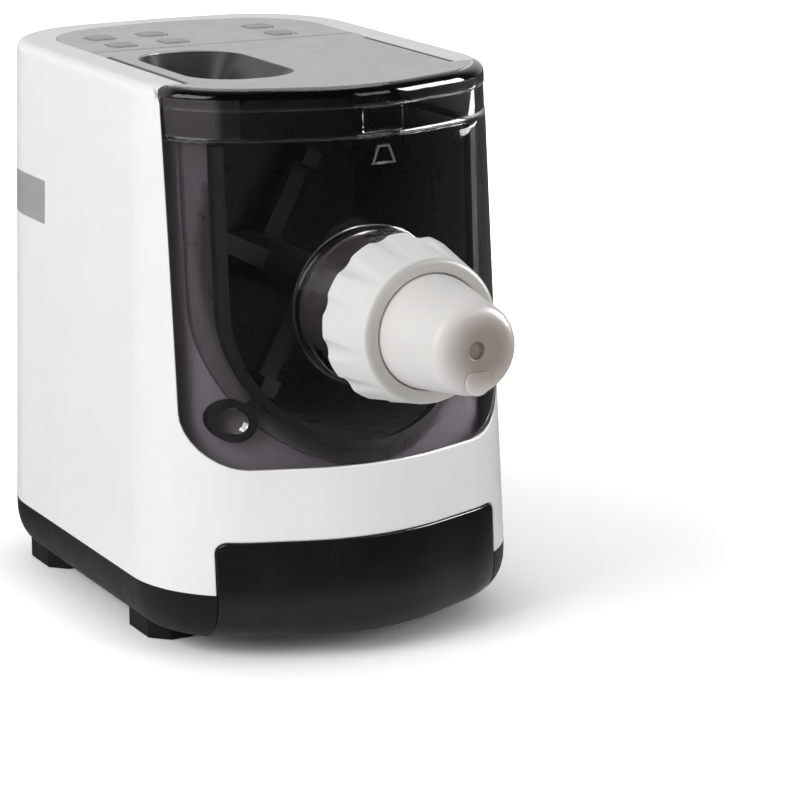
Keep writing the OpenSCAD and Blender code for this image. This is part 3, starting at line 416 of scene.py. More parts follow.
def patch(edge, shrunk, lay, hole=None, hole_grown=None, step=3.0):
    """Triangulated face inside the outline edge, laid on a surface by lay(points).

    Its inner points keep inside the outline shrunk, and outside hole_grown where it has a hole.
    """
    edge = np.asarray(edge, float)
    lo, hi = edge.min(axis=0), edge.max(axis=0)
    span = max(abs(lo[0]), abs(hi[0]))
    fine = np.sin(np.linspace(-math.pi / 2, math.pi / 2, int(2.6 * span / step) + 2)) * span
    xs = fine[(fine > lo[0]) & (fine < hi[0])]
    zs = np.linspace(lo[1], hi[1], int((hi[1] - lo[1]) / step) + 2)[1:-1]
    grid = np.stack(np.meshgrid(xs, zs), axis=-1).reshape(-1, 2)
    grid = grid[inside(grid, shrunk)]
    if hole is not None:
        grid = grid[~inside(grid, hole_grown)]
    loops = [edge] if hole is None else [edge, np.asarray(hole, float)]
    points, edges, faces = [], [], []
    for loop in loops:
        base = len(points)
        n = len(loop)
        points += [Vector(p) for p in loop]
        edges += [(base + i, base + (i + 1) % n) for i in range(n)]
    points += [Vector(p) for p in grid]
    found = delaunay_2d_cdt(points, edges, faces, 2 if hole is not None else 1, 1e-6)
    flat = np.array([tuple(p) for p in found[0]])
    faces = [tuple(f) for f in found[2]]
    if hole is not None:
        filled = inside(np.array([flat[list(f)].mean(axis=0) for f in faces]), hole)
        faces = [f for f, out in zip(faces, filled) if not out]
    shape = Solid()
    shape.add(lay(flat), faces)
    return shape


def rim(edge, r, skin=top_inset, steps=4):
    """Rings of a rounded outer edge of radius r on the body's front. edge(grow) is its outline."""
    return [
        on_front(edge(-r * (1 - math.sin(u))), r * (1 - math.cos(u)), skin)
        for u in arc(0, 90, steps)
    ]


def skin_plate(edge, r, depth, skin=top_inset, steps=4):
    """Plate that follows the body's front, with a rounded outer edge. edge(grow) is its outline."""
    wall = Solid()
    wall.band(rim(edge, r, skin, steps) + [on_front(edge(0), depth, skin)])
    front = patch(edge(-r), edge(-r - 0.8), lambda p: on_front(p, 0, skin))
    back = patch(edge(0), edge(-0.8), lambda p: on_front(p, depth, skin), step=5.0)
    return [wall, front, back]


def flared_cutter(edge, flare, skin=top_inset):
    """Tool that cuts an opening with a rounded lip through the body's front."""
    lead = 12
    reach = 0.6
    start = math.radians(lead)
    first = edge(flare * (1 - math.sin(start)) + reach)
    rings = [
        [(x, FAR_FRONT, z) for x, z in first],
        on_front(first, -2.0, skin),
        on_front(first, flare * (1 - math.cos(start)) - reach * math.tan(start), skin),
    ]
    rings += [
        on_front(edge(flare * (1 - math.sin(u))), flare * (1 - math.cos(u)), skin)
        for u in arc(lead, 90, 4)
    ]
    rings.append([(x, LID_FRONT, z) for x, z in edge(0)])
    return cutter(rings)


def window_edge(top):
    return lambda grow: panel_outline(
        -COVER_HALF_W, COVER_HALF_W, COVER_BOTTOM, top, (COVER_R, COVER_R, 1.2, 1.2), grow
    )


def drawer_edge(bottom):
    return lambda grow: panel_outline(
        -DRAWER_HALF_W, DRAWER_HALF_W, bottom, DRAWER_TOP,
        (0.6, 0.6, DRAWER_R, DRAWER_R), grow, up=16
    )


def level(points, z):
    """A plan outline at height z."""
    return [(x, y, z) for x, y in points]


def plan_prism(points, z0, z1):
    """Upright tool over a plan outline."""
    return cutter([level(points, z) for z in (z0, z1)])


def block(x0, x1, y0, y1, z0, z1):
    """Box-shaped tool for a cut."""
    return plan_prism([(x0, y0), (x1, y0), (x1, y1), (x0, y1)], z0, z1)


def through_back(points):
    """Tool over an outline (x, z) that cuts through the back of the body."""
    return cutter([[(x, y, z) for x, z in points] for y in (FAR_BACK, INNER_BACK)])


def round_plan(w, d, r, x=0.0, y=0.0, steps=10, sides=6):
    """Plan outline of a rectangle with round corners."""
    return panel_outline(
        x - w / 2, x + w / 2, y - d / 2, y + d / 2, (r,) * 4, 0, sides, sides, steps
    )


def pour_plan(grow, steps=10):
    """Plan outline of the pouring hole in the lid."""
    return round_plan(POUR_W + 2 * grow, POUR_D + 2 * grow, POUR_R + grow, POUR_X, POUR_Y, steps)


# ---------- materials ----------

def wire(tree, node, inputs):
    """Gives inputs of a node, by name or number, their value or the output that they link to."""
    for key, value in inputs.items():
        if isinstance(value, bpy.types.NodeSocket):
            tree.links.new(value, node.inputs[key])
        else:
            node.inputs[key].default_value = value


def add(tree, kind, inputs=None, **settings):
    """New shader node, with its settings and its wired inputs."""
    node = tree.nodes.new("ShaderNode" + kind)
    for key, value in settings.items():
        setattr(node, key, value)
    wire(tree, node, inputs or {})
    return node


def noise(tree, coords, scale, detail, stretch):
    """Noise texture over the object's own coordinates."""
    if stretch:
        coords = add(tree, "Mapping", {"Scale": stretch, "Vector": coords}).outputs["Vector"]
    inputs = {"Scale": scale, "Detail": detail, "Vector": coords}
    return add(tree, "TexNoise", inputs).outputs["Fac"]


def remap(tree, value, start, end, low, high, kind="SMOOTHSTEP"):
    """Maps a value from start to end onto low to high, and no further."""
    inputs = {"From Min": start, "From Max": end, "To Min": low, "To Max": high, "Value": value}
    return add(tree, "MapRange", inputs, interpolation_type=kind).outputs["Result"]


def spread(tree, value, low, high):
    """Maps noise from its usual range onto low to high."""
    return remap(tree, value, 0.3, 0.7, low, high, "LINEAR")


def mix_colors(tree, share, first, second):
    return add(tree, "Mix", {0: share, 6: first, 7: second}, data_type="RGBA").outputs[2]


def mix_shaders(tree, share, first, second):
    """The first shader where share is 0, and the second where it is 1."""
    return add(tree, "MixShader", {0: share, 1: first, 2: second}).outputs[0]


def vector_math(tree, operation, first, second=None, output="Vector"):
    inputs = {0: first} if second is None else {0: first, 1: second}
    return add(tree, "VectorMath", inputs, operation=operation).outputs[output]


def finish(
    name, color, roughness, metallic=0.0, transmission=0.0, ior=1.5, coat=0.0, subsurface=0.0,
    mottle=0.03, mottle_scale=35.0, rough_vary=0.05, grain=0.06, grain_scale=1400.0, depth=0.05,
    stretch=None, fade=None, specular=0.5, clear=False,
):
    """Procedural finish: slight colour mottling, uneven gloss and a fine moulded or worked grain.

    fade=(point, weights, near, far, color) blends to another colour near a point: the distance from
    it is measured in metres, with each axis weighted. The nut, the die and the bowl use it for
    painted shade, and the liner for painted light. clear lets the lamps reach what is behind.
    """
    material = bpy.data.materials.new(name)
    material.use_nodes = True
    tree = material.node_tree
    shader = tree.nodes["Principled BSDF"]
    wire(tree, shader, {
        "Metallic": metallic, "Transmission Weight": transmission, "IOR": ior,
        "Coat Weight": coat, "Specular IOR Level": specular, "Subsurface Weight": subsurface,
        "Subsurface Radius": (1.0, 0.8, 0.6), "Subsurface Scale": 4 * MM,
    })
    coords = add(tree, "TexCoord").outputs["Object"]

    pale = (*[min(1.0, c * (1 + mottle)) for c in color], 1)
    dark = (*[c * (1 - 2 * mottle) for c in color], 1)
    cloud = noise(tree, coords, mottle_scale, 4.0, stretch)
    base = mix_colors(tree, spread(tree, cloud, 0.0, 1.0), pale, dark)
    if fade:
        point, weights, near, far, other = fade
        shift = vector_math(tree, "SUBTRACT", coords, point)
        weighted = vector_math(tree, "MULTIPLY", shift, weights)
        away = vector_math(tree, "LENGTH", weighted, output="Value")
        base = mix_colors(tree, remap(tree, away, near, far, 1.0, 0.0), base, (*other, 1))

    wear = noise(tree, coords, mottle_scale * 2.3, 6.0, stretch)
    texture = noise(tree, coords, grain_scale, 2.0, stretch)
    bump = add(tree, "Bump", {"Strength": grain, "Distance": depth * MM, "Height": texture})
    wire(tree, shader, {
        "Base Color": base,
        "Roughness": spread(tree, wear, max(0.0, roughness - rough_vary), roughness + rough_vary),
        "Normal": bump.outputs["Normal"],
    })
    if clear:
        tint = (*[math.sqrt(c) for c in color], 1)
        pane = add(tree, "BsdfTransparent", {"Color": tint}).outputs[0]
        shadow = add(tree, "LightPath").outputs["Is Shadow Ray"]
        surface = mix_shaders(tree, shadow, shader.outputs[0], pane)
        wire(tree, tree.nodes["Material Output"], {"Surface": surface})
    return material


def on_axis(x, y):
    """Point in metres, in the row frame, at the height of the nozzle axis."""
    return (x * MM, (y + BODY_Y) * MM, AXIS_Z * MM)


white_shell = finish("white_shell", (0.89, 0.885, 0.88), 0.38, mottle=0.006, grain=0.04)
dark_base = finish(
    "dark_base", (0.009, 0.0093, 0.0103), 0.48, mottle=0.08, grain=0.1, specular=0.2,
)
foot_rubber = finish(
    "foot_rubber", (0.009, 0.009, 0.0098), 0.62, mottle=0.1, grain=0.2, grain_scale=900,
    specular=0.2,
)
silver_trim = finish(
    "silver_trim", (0.54, 0.535, 0.53), 0.4, metallic=0.35, mottle=0.04, stretch=(1, 1, 14),
    grain=0.08,
)
grey_plate = finish("grey_plate", (0.50, 0.50, 0.505), 0.34, mottle=0.012, grain=0.04)
button_grey = finish("button_grey", (0.34, 0.34, 0.345), 0.36, mottle=0.02, grain=0.05)
glass = dict(
    transmission=1.0, mottle=0.012, rough_vary=0.003, grain=0.01, grain_scale=60, depth=0.2,
    clear=True,
)
smoked_clear = finish("smoked_clear", (0.62, 0.597, 0.62), 0.018, ior=1.36, **glass)
smoked_dark = finish("smoked_dark", (0.54, 0.52, 0.54), 0.022, ior=1.45, **glass)
smoked_brown = finish(
    "smoked_brown", (0.05, 0.044, 0.047), 0.3, mottle=0.1, grain=0.06, specular=0.4,
)
gloss_black = finish(
    "gloss_black", (0.009, 0.0088, 0.010), 0.12, mottle=0.2, rough_vary=0.03, grain=0.02,
    grain_scale=120, specular=0.35,
)
# Painted highlight: lighter grey for the frame that marks the bright edge of the clear catch
rim_painted_highlight = finish("rim_painted_highlight", (0.13, 0.125, 0.13), 0.12, mottle=0.1, grain=0.05)
silicone = finish("silicone", (0.012, 0.012, 0.013), 0.55, mottle=0.1, grain=0.2, grain_scale=700)
# Painted shade: the nut turns greyer at its front face, which faces away from the lamps; the
# plastic is one ivory throughout
ivory_nut = finish(
    "ivory_nut", (0.75, 0.75, 0.74), 0.42, mottle=0.01, grain=0.1, subsurface=0.15,
    fade=(on_axis(0, NUT_FACE), (0, 1, 0), 0.3 * MM, 2.2 * MM, (0.53, 0.515, 0.49)),
)
# Painted shade: the die darkens to taupe round the middle of its tip
ivory_die = finish(
    "ivory_die", (0.76, 0.745, 0.725), 0.38, mottle=0.015, grain=0.08, subsurface=0.3,
    fade=(on_axis(4, DIE_FRONT + 1), (1, 1.2, 1), 7 * MM, 27 * MM, (0.33, 0.27, 0.235)),
)
black_plastic = finish("black_plastic", (0.022, 0.022, 0.024), 0.45, mottle=0.1, grain=0.2)
inner_plastic = finish("inner_plastic", (0.30, 0.29, 0.30), 0.5, mottle=0.08, grain=0.2)
# Painted light: the liner is lighter towards the bay's left wall, at x = -78 mm
liner_plastic = finish(
    "liner_plastic", (0.17, 0.16, 0.17), 0.5, mottle=0.03, grain=0.1,
    fade=((-0.078, 0, 0), (1, 0, 0), 0.015, 0.06, (0.31, 0.30, 0.31)),
)
lining_plastic = finish(
    "lining_plastic", (0.13, 0.126, 0.13), 0.5, mottle=0.03, grain=0.1,
    fade=((-0.063, 0, 0), (1, 0, 0), 3.5 * MM, 8 * MM, (0.012, 0.012, 0.013)),
)
barrel_plastic = finish("barrel_plastic", (0.075, 0.07, 0.068), 0.4, mottle=0.05, grain=0.1)
# Painted shade: the bowl is dark in its middle and lighter only round its outer edge
bowl_plastic = finish(
    "bowl_plastic", (0.16, 0.155, 0.16), 0.3, mottle=0.03, grain=0.08,
    fade=((0, 0, 0.205), (1, 0, 0.72), 0.0745, 0.0795, (0.055, 0.053, 0.057)),
)
paddle_plastic = finish("paddle_plastic", (0.06, 0.058, 0.062), 0.35, mottle=0.1, grain=0.1)
auger_plastic = finish("auger_plastic", (0.55, 0.53, 0.50), 0.4, mottle=0.04, grain=0.1)
zinc_steel = finish(
    "zinc_steel", (0.62, 0.63, 0.65), 0.28, metallic=1.0, mottle=0.06, stretch=(8, 1, 1),
    grain=0.15,
)
brass = finish("brass", (0.72, 0.52, 0.22), 0.3, metallic=1.0, mottle=0.07, grain=0.12)
cast_alloy = finish(
    "cast_alloy", (0.42, 0.43, 0.44), 0.55, metallic=0.85, mottle=0.08, grain=0.5,
    grain_scale=600, depth=0.1,
)
motor_can = finish(
    "motor_can", (0.35, 0.35, 0.36), 0.35, metallic=0.9, mottle=0.06, stretch=(1, 12, 1),
    grain=0.15,
)
winding = finish(
    "winding", (0.36, 0.15, 0.06), 0.35, metallic=0.5, mottle=0.2, mottle_scale=250,
    stretch=(1, 6, 1), grain=0.6, grain_scale=500, depth=0.2,
)
circuit_board = finish(
    "circuit_board", (0.03, 0.16, 0.07), 0.4, mottle=0.25, mottle_scale=220, grain=0.3, coat=0.3,
)


# ---------- housing ----------

def shell_rings():
    """The shell's outlines from the base up, with a crisp lower edge and a rounded upper one."""
    edge = 0.4
    levels = [(BASE_LINE, edge), (BASE_LINE + 0.3 * edge, 0.3 * edge), (BASE_LINE + edge, 0)]
    levels += [(z, 0) for z in (60, 100, 150, 200, 250, 270, 283, BODY_H - TOP_FILLET)]
    levels += [(BODY_H - TOP_FILLET * (1 - math.sin(a)), TOP_FILLET * (1 - math.cos(a)))
               for a in arc(0, 90, 9)[1:]]
    return [outline(z, inset) for z, inset in levels]


def top_opening(grow):
    """Plan outline of the opening for the lid and the control panel."""
    return bowed(PANEL_HALF_W + grow, PANEL_REAR + grow, LID_FRONT - 5, PANEL_BOW, 0,
                 PANEL_R + grow, 2, front=2, corner=14, rear=16)


def band_ring(name, grow, outer, inner):
    """Form of the grip band, round both sides and the back, between two insets of the outline."""
    low, high = BAND_LOW - grow, BAND_HIGH + grow
    ring = make(name, loft([outline(low, outer), outline(high, outer)]))
    combine(ring, cutter([outline(low - 5, inner), outline(high + 5, inner)]))
    combine(ring, block(-200, 200, -300, BAND_FRONT - grow, 100, 330))
    return ring


def grip_band():
    band = band_ring("grip_band", 0, 0, BAND_T)
    shade(band, 30)
    soften(band, 0.3)
    return dress(band, silver_trim, "housing", ["rear_grip_band"])


def housing_shell():
    shell = make("shell", loft(shell_rings()))
    combine(shell, cutter([outline(z, WALL) for z in (BASE_LINE - 1, 100, 200, BODY_H - 6)]))
    # recess for the lid and the panel, with a softened edge, and the ledge's opening
    levels = ((PLATE_UNDER - 0.2, GAP), (BODY_H - 0.5, GAP), (BODY_H - 0.15, GAP + 0.15),
              (BODY_H + 0.1, GAP + 0.6), (BODY_H + 5, GAP + 0.6))
    combine(shell, cutter([level(top_opening(g), z) for z, g in levels]))
    combine(shell, plan_prism(top_opening(-4), BODY_H - 40, BODY_H + 20))
    # openings for the front cover with the skirt, and for the drawer
    combine(shell, flared_cutter(window_edge(330), 0.9))
    combine(shell, flared_cutter(drawer_edge(20), 1.6))
    # pocket for the lid's hinge, and recess for the grip band
    pocket = PANEL_HALF_W + 0.7
    combine(shell, block(-pocket, pocket, HINGE_Y - 6, HINGE_Y + 6, 250, 320))
    combine(shell, band_ring("cutter", 0.1, -3, BAND_T + 0.1))
    # cooling slots and the mains inlet
    for i in range(VENTS):
        x = (i - (VENTS - 1) / 2) * VENT_PITCH
        combine(shell, through_back(panel_outline(
            x - VENT_W / 2, x + VENT_W / 2, VENT_LOW, VENT_HIGH, (1.4,) * 4, 0, 2, 4, 5)))
    combine(shell, through_back(panel_outline(
        -INLET_HALF_W, INLET_HALF_W, INLET_LOW, INLET_HIGH, (2.5,) * 4, 0, 4, 4, 5)))
    shade(shell, 30)
    return dress(shell, white_shell, "housing", ["housing_shell"])


def base_tray():
    levels = [BASE_BOTTOM + (BASE_LINE - BASE_BOTTOM) * (k / 14) ** 1.6 for k in range(14)]
    rings = [outline(z, float(base_inset(z))) for z in levels]
    rings += [outline(BASE_LINE - 0.4, SIDE_DRAFT * 0.4), outline(BASE_LINE - 0.1, 0.18)]
    rings += [outline(BASE_LINE, 0.4)]
    tray = make("base", loft(rings))
    floor = BASE_BOTTOM + 3
    levels = (floor, 18, 22, 28, BASE_LINE + 1)
    combine(tray, cutter([outline(z, float(base_inset(z)) + 3) for z in levels]))
    combine(tray, flared_cutter(drawer_edge(floor), 0.5, base_inset))
    # room for the lower edge of the drawer's front
    edge = drawer_edge(BASE_BOTTOM - 3)
    deep = COVER_T + 0.6
    mouth = [(x, FAR_FRONT, z) for x, z in edge(GAP)]
    wall = Solid()
    wall.band([mouth, on_front(edge(GAP), deep, base_inset)])
    wall.cap(mouth)
    back = patch(edge(GAP), edge(-0.6), lambda p: on_front(p, deep, base_inset), step=4.0)
    combine(tray, make("cutter", [wall, back]))
    shade(tray, 30)
    return dress(tray, dark_base, "housing", ["base_tray"])


housing_shell()
grip_band()
base_tray()


# ---------- front cover, nozzle and lid ----------

FACE_Y = float(front_y(0, AXIS_Z, 0))


def ring_at(r, y, count=96):
    """Ring of radius r round the nozzle axis, in the plane at y."""
    return [(x, y, z) for x, z in circle(r, count)]


def revolve(profile, count=96):
    """Surface round the nozzle axis through (radius, y) pairs."""
    shape = Solid()
    shape.band([ring_at(r, y, count) for r, y in profile])
    return shape


def stud(points, near, deep):
    """Tool between two depths below the front's skin, over an outline (x, z)."""
    return cutter([on_front(points, near), on_front(points, deep)])


def catch_edge(inset):
    """Outline (x, z) of the clear catch under the latch, drawn in by inset."""
    low, high = SKIRT_LINE - 13.4 + inset, SKIRT_LINE - 3.9 - inset
    wide, narrow = 7.2 - 1.75 * inset, 3.5 - 0.9 * inset
    corners = [
        (CATCH_X - wide, low), (CATCH_X + wide, low),
        (CATCH_X + narrow, high), (CATCH_X - narrow, high),
    ]
    return [p for a, b in zip(corners, corners[1:] + corners[:1]) for p in split(a, b, 5)]


def front_cover():
    fillet, edge_r = 2.5, 0.5
    thick = COVER_T - 0.2
    root = COLLAR_R + fillet
    edge = window_edge(SKIRT_LINE - GAP)
    wall = Solid()
    wall.band(rim(edge, edge_r) + [on_front(edge(0), thick)])
    face = patch(
        edge(-edge_r), edge(-edge_r - 0.8), lambda p: on_front(p, 0),
        circle(root), circle(root + 0.8),
    )
    back = patch(
        edge(0), edge(-0.8), lambda p: on_front(p, thick),
        circle(COLLAR_R), circle(COLLAR_R + 0.8), 5.0,
    )
    collar = Solid()
    collar.band(
        [on_front(circle(root - fillet * math.sin(u)), -fillet * (1 - math.cos(u)))
         for u in arc(0, 90, 6)]
        + [ring_at(COLLAR_R - 1 + math.cos(u), COLLAR_FRONT + 1 - math.sin(u))
           for u in arc(0, 90, 4)]
        + [ring_at(BORE_R + 0.5, COLLAR_FRONT), ring_at(BORE_R, COLLAR_FRONT + 0.5)]
        + [ring_at(BORE_R, FACE_Y + 12), ring_at(COLLAR_R, FACE_Y + 12)]
        + [on_front(circle(COLLAR_R), thick)]
    )
    cover = make("cover", [wall, face, back, collar])
    # post inside the gasket's ear, and the clear catch under the latch with its raised rim
    combine(cover, stud(circle(6, 40, *EAR), 1, 7), "UNION")
    combine(cover, stud(catch_edge(0), -1.4, 1), "UNION")
    combine(cover, stud(catch_edge(1.2), -3, -0.4))
    shade(cover, 30)
    return dress(cover, smoked_clear, "front_cover", ["front_cover"])


def catch_rim():
    """Lighter grey frame on the clear catch's rim, a painted highlight along its edge."""
    edge = stud(catch_edge(0.15), -1.6, -1.3)
    combine(edge, stud(catch_edge(1.05), -3, 0))
    edge.name = "catch_rim"
    shade(edge, 30)
    return dress(edge, rim_painted_highlight, "front_cover", ())


def lid_skirt():
    lip, bead = SKIRT_LINE + 1.6, 280.0
    flange = PLATE_UNDER - 2.4
    # the section's outer side as (inset, height), from the lower edge up
    section = [
        (0.5, SKIRT_LINE), (0.15, SKIRT_LINE + 0.12), (0.02, SKIRT_LINE + 0.45),
        (0.02, SKIRT_LINE + 1.1), (0.2, lip), (0.6, lip + 0.7), (0.6, bead - 0.9),
        (0.42, bead - 0.35), (0.1, bead - 0.05), (0, bead + 0.4),
    ]
    section += [(TOP_FILLET * (1 - math.cos(a)), BODY_H - TOP_FILLET * (1 - math.sin(a)))
                for a in arc(0, 90, 10)]
    section += [(TOP_FILLET, PLATE_UNDER)]
    rings = []
    for x in COVER_HALF_W * np.sin(np.linspace(-math.pi / 2, math.pi / 2, 97)):
        ring = []
        for inset, z in section:
            y = float(front_y(x, z, inset))
            if y > LID_FRONT and ring:
                back, (_, y0, z0) = y, ring[-1]
                share = 0 if back <= y0 else (LID_FRONT - y0) / (back - y0)
                y, z = LID_FRONT, z0 + (z - z0) * max(0.0, min(1.0, share))
            ring.append((x, y, z))
        ring += [(x, LID_FRONT, PLATE_UNDER), (x, LID_FRONT, flange)]
        ring += [(x, min(LID_FRONT, float(front_y(x, z, COVER_T))), z)
                 for z in (flange, SKIRT_LINE)]
        rings.append(ring)
    skirt = make("skirt", loft(rings))
    # room for the funnel and the latch
    combine(skirt, plan_prism(pour_plan(3.3), 240, 300))
    x, z = LATCH
    combine(skirt, block(x - 11.9, x + 11.9, FAR_FRONT, -120, z - 6.4, z + 6.4))
    shade(skirt, 26)
    return dress(skirt, smoked_dark, "lid", ["lid_skirt"])


def skirt_lining():
    """Grey inner wall behind the left end of the lid's smoked skirt."""
    rings = []
    levels = (SKIRT_LINE + 0.3, 275, 284.4)
    for x in np.linspace(-87.5, -60, 19):
        back = [min(float(front_y(x, z, COVER_T + 1.4)), LID_FRONT - 0.4) for z in levels]
        face = [min(float(front_y(x, z, COVER_T + 0.4)), y - 0.4) for y, z in zip(back, levels)]
        rings.append([(x, y, z) for y, z in zip(face + back[::-1], levels + levels[::-1])])
    piece = make("skirt_lining", loft(rings))
    shade(piece, 30)
    return dress(piece, lining_plastic, "lid", ())


def latch():
    x, z = LATCH

    def edge(w, h, r):
        sides = x - w / 2, x + w / 2, z - h / 2, z + h / 2
        return lambda g: panel_outline(*sides, (r,) * 4, g, 12, 8, 3)

    def plate(shape, r, depth, inset):
        return skin_plate(edge(*shape), r, depth, lambda z: z * 0 + inset)

    face = make("latch", plate((23, 12, 0.8), 0.35, 4.5, 0.3))
    combine(face, make("cutter", plate((28, 15.2, 0.5), 0.1, 1.6, 3.3)), "UNION")
    shade(face, 30)
    return dress(face, smoked_dark, "latch", ["latch_button"])


def flat_plate(name, plan):
    """Plate from its underside to the top of the body, over a plan outline, softly edged."""
    r = 0.5
    levels = [(PLATE_UNDER, 0)]
    levels += [(BODY_H - r * (1 - math.sin(a)), r * (1 - math.cos(a))) for a in arc(0, 90, 3)]
    return make(name, loft([level(drawn_in(plan, d), z) for z, d in levels]))


def drawn_in(points, d):
    """A counter-clockwise outline moved inwards by a small distance."""
    p = np.asarray(points, float)
    before, after = p - np.roll(p, 1, axis=0), np.roll(p, -1, axis=0) - p
    before /= np.linalg.norm(before, axis=1)[:, None]
    after /= np.linalg.norm(after, axis=1)[:, None]
    n0 = np.stack([-before[:, 1], before[:, 0]], axis=1)
    n1 = np.stack([-after[:, 1], after[:, 0]], axis=1)
    return p + d * (n0 + n1) / (1 + np.sum(n0 * n1, axis=1))[:, None]


def soft_hole(plan, r):
    """Tool for a hole through a flat plate, with a rounded top edge. plan(grow) is its outline."""
    levels = [(PLATE_UNDER - 10, 0)]
    levels += [(BODY_H - r * (1 - math.cos(a)), r * (1 - math.sin(a))) for a in arc(90, 10, 6)]
    levels.append((BODY_H + 3, levels[-1][1] + 0.8))
    return cutter([level(plan(g), z) for z, g in levels])


def lid_plate():
    inset = TOP_FILLET + 0.3
    xs = 84.6 * np.sin(np.linspace(-math.pi / 2, math.pi / 2, 81))
    plan = [(x, min(float(front_y(x, BODY_H, inset)), LID_FRONT)) for x in xs]
    # the plate steps in along the slots beside it
    wide, inner, slot_end = PANEL_HALF_W, PANEL_HALF_W - 3.6, -8
    side = [(inner, LID_FRONT), (inner, slot_end), (wide, slot_end), (wide, HINGE_Y)]
    plan += side + [(-x, y) for x, y in side[::-1]]
    plate = flat_plate("lid_plate", plan)
    roll = [(HINGE_Y + HINGE_R * math.cos(a), BODY_H - HINGE_R + HINGE_R * math.sin(a))
            for a in arc(0, 360, 48)[:-1]]
    combine(plate, cutter([[(x, y, z) for y, z in roll] for x in (-wide, wide)]), "UNION")
    combine(plate, soft_hole(lambda g: pour_plan(g, 16), 0.8))
    shade(plate, 25)
    return dress(plate, grey_plate, "lid", ["lid_panel"])


def control_panel():
    plan = [(x, y) for x, y in top_opening(0) if y > PANEL_FRONT + 0.5]
    right = max(range(len(plan)), key=lambda i: (plan[i][0] > 0, -plan[i][1]))
    plan = plan[right:] + plan[:right]
    plan = [(PANEL_HALF_W, PANEL_FRONT)] + plan + [(-PANEL_HALF_W, PANEL_FRONT)]
    panel = flat_plate("control_panel", plan)
    for x, y, _ in BUTTONS:
        size = BUTTON + 0.8
        combine(panel, soft_hole(
            lambda g: round_plan(size + 2 * g, size + 2 * g, BUTTON_R + g, x, y, 8, 4), 0.6))
    shade(panel, 25)
    return dress(panel, grey_plate, "housing", ["control_panel"])


def button(x, y, body):
    crown = BODY_H + 0.8
    rings = []
    for t in (0.04, 0.2, 0.4, 0.6, 0.76, 0.88, 0.96, 1.0):
        plan = round_plan(BUTTON * t, BUTTON * t, BUTTON_R * t, x, y, 6, 4)
        rings.append(level(plan, crown - 0.12 * t ** 2.6 - 0.25 * max(0, t - 0.88) / 0.12))
    rings += [level(plan, z) for z in (crown - 1.3, PLATE_UNDER - 0.3)]
    cap = loft(rings[::-1])
    flange = round_plan(17.4, 17.4, 1, x, y, 3, 2)
    flange = loft([level(flange, PLATE_UNDER - d) for d in (2.2, 0.2)])
    stem = [(x + 3 * math.cos(t), y + 3 * math.sin(t)) for t in arc(0, 360, 24)[:-1]]
    stem = loft([level(stem, PLATE_UNDER - d) for d in (4.4, 2)])
    piece = make("cap_" + body, [cap, flange, stem])
    shade(piece, 30)
    return dress(piece, button_grey, body, [body])


def funnel():
    top, low = PLATE_UNDER - 2.2, PLATE_UNDER - FUNNEL_H

    def wide(grow, z):
        return level(pour_plan(grow, 14), z)

    def narrow(grow, z, r):
        w, d = THROAT_W + 2 * grow, THROAT_D + 2 * grow
        return level(round_plan(w, d, r, POUR_X, THROAT_Y, 14), z)

    shape = Solid()
    shape.band([
        wide(-1, BODY_H - 1.2), wide(-0.8, BODY_H - 0.9), wide(-0.12, BODY_H - 0.9),
        wide(-0.12, PLATE_UNDER - 0.05), wide(2.7, PLATE_UNDER - 0.05),
        wide(3, PLATE_UNDER - 0.4), wide(3, top), wide(1, top),
        narrow(2, low, THROAT_R), narrow(0.4, low, THROAT_R - 0.8),
        narrow(0, low + 0.5, THROAT_R - 1), wide(-1, BODY_H - 1.2),
    ])
    piece = make("funnel", shape)
    shade(piece, 24)
    return dress(piece, smoked_brown, "lid", ["pour_funnel"])


def slot_strips():
    """Black rubber strips in the long slots beside the lid."""
    section = [(72.7, 286.8), (75.95, 286.8), (75.95, 289.2), (75.5, 289.7), (73.2, 289.7),
               (72.7, 289.2)]
    shapes = [
        loft([[(side * x, y, z) for x, z in section] for y in (-106.2, -8.3)]) for side in (-1, 1)
    ]
    piece = make("slot_strips", shapes)
    shade(piece, 30, 0.2)
    return dress(piece, black_plastic, "housing", ())


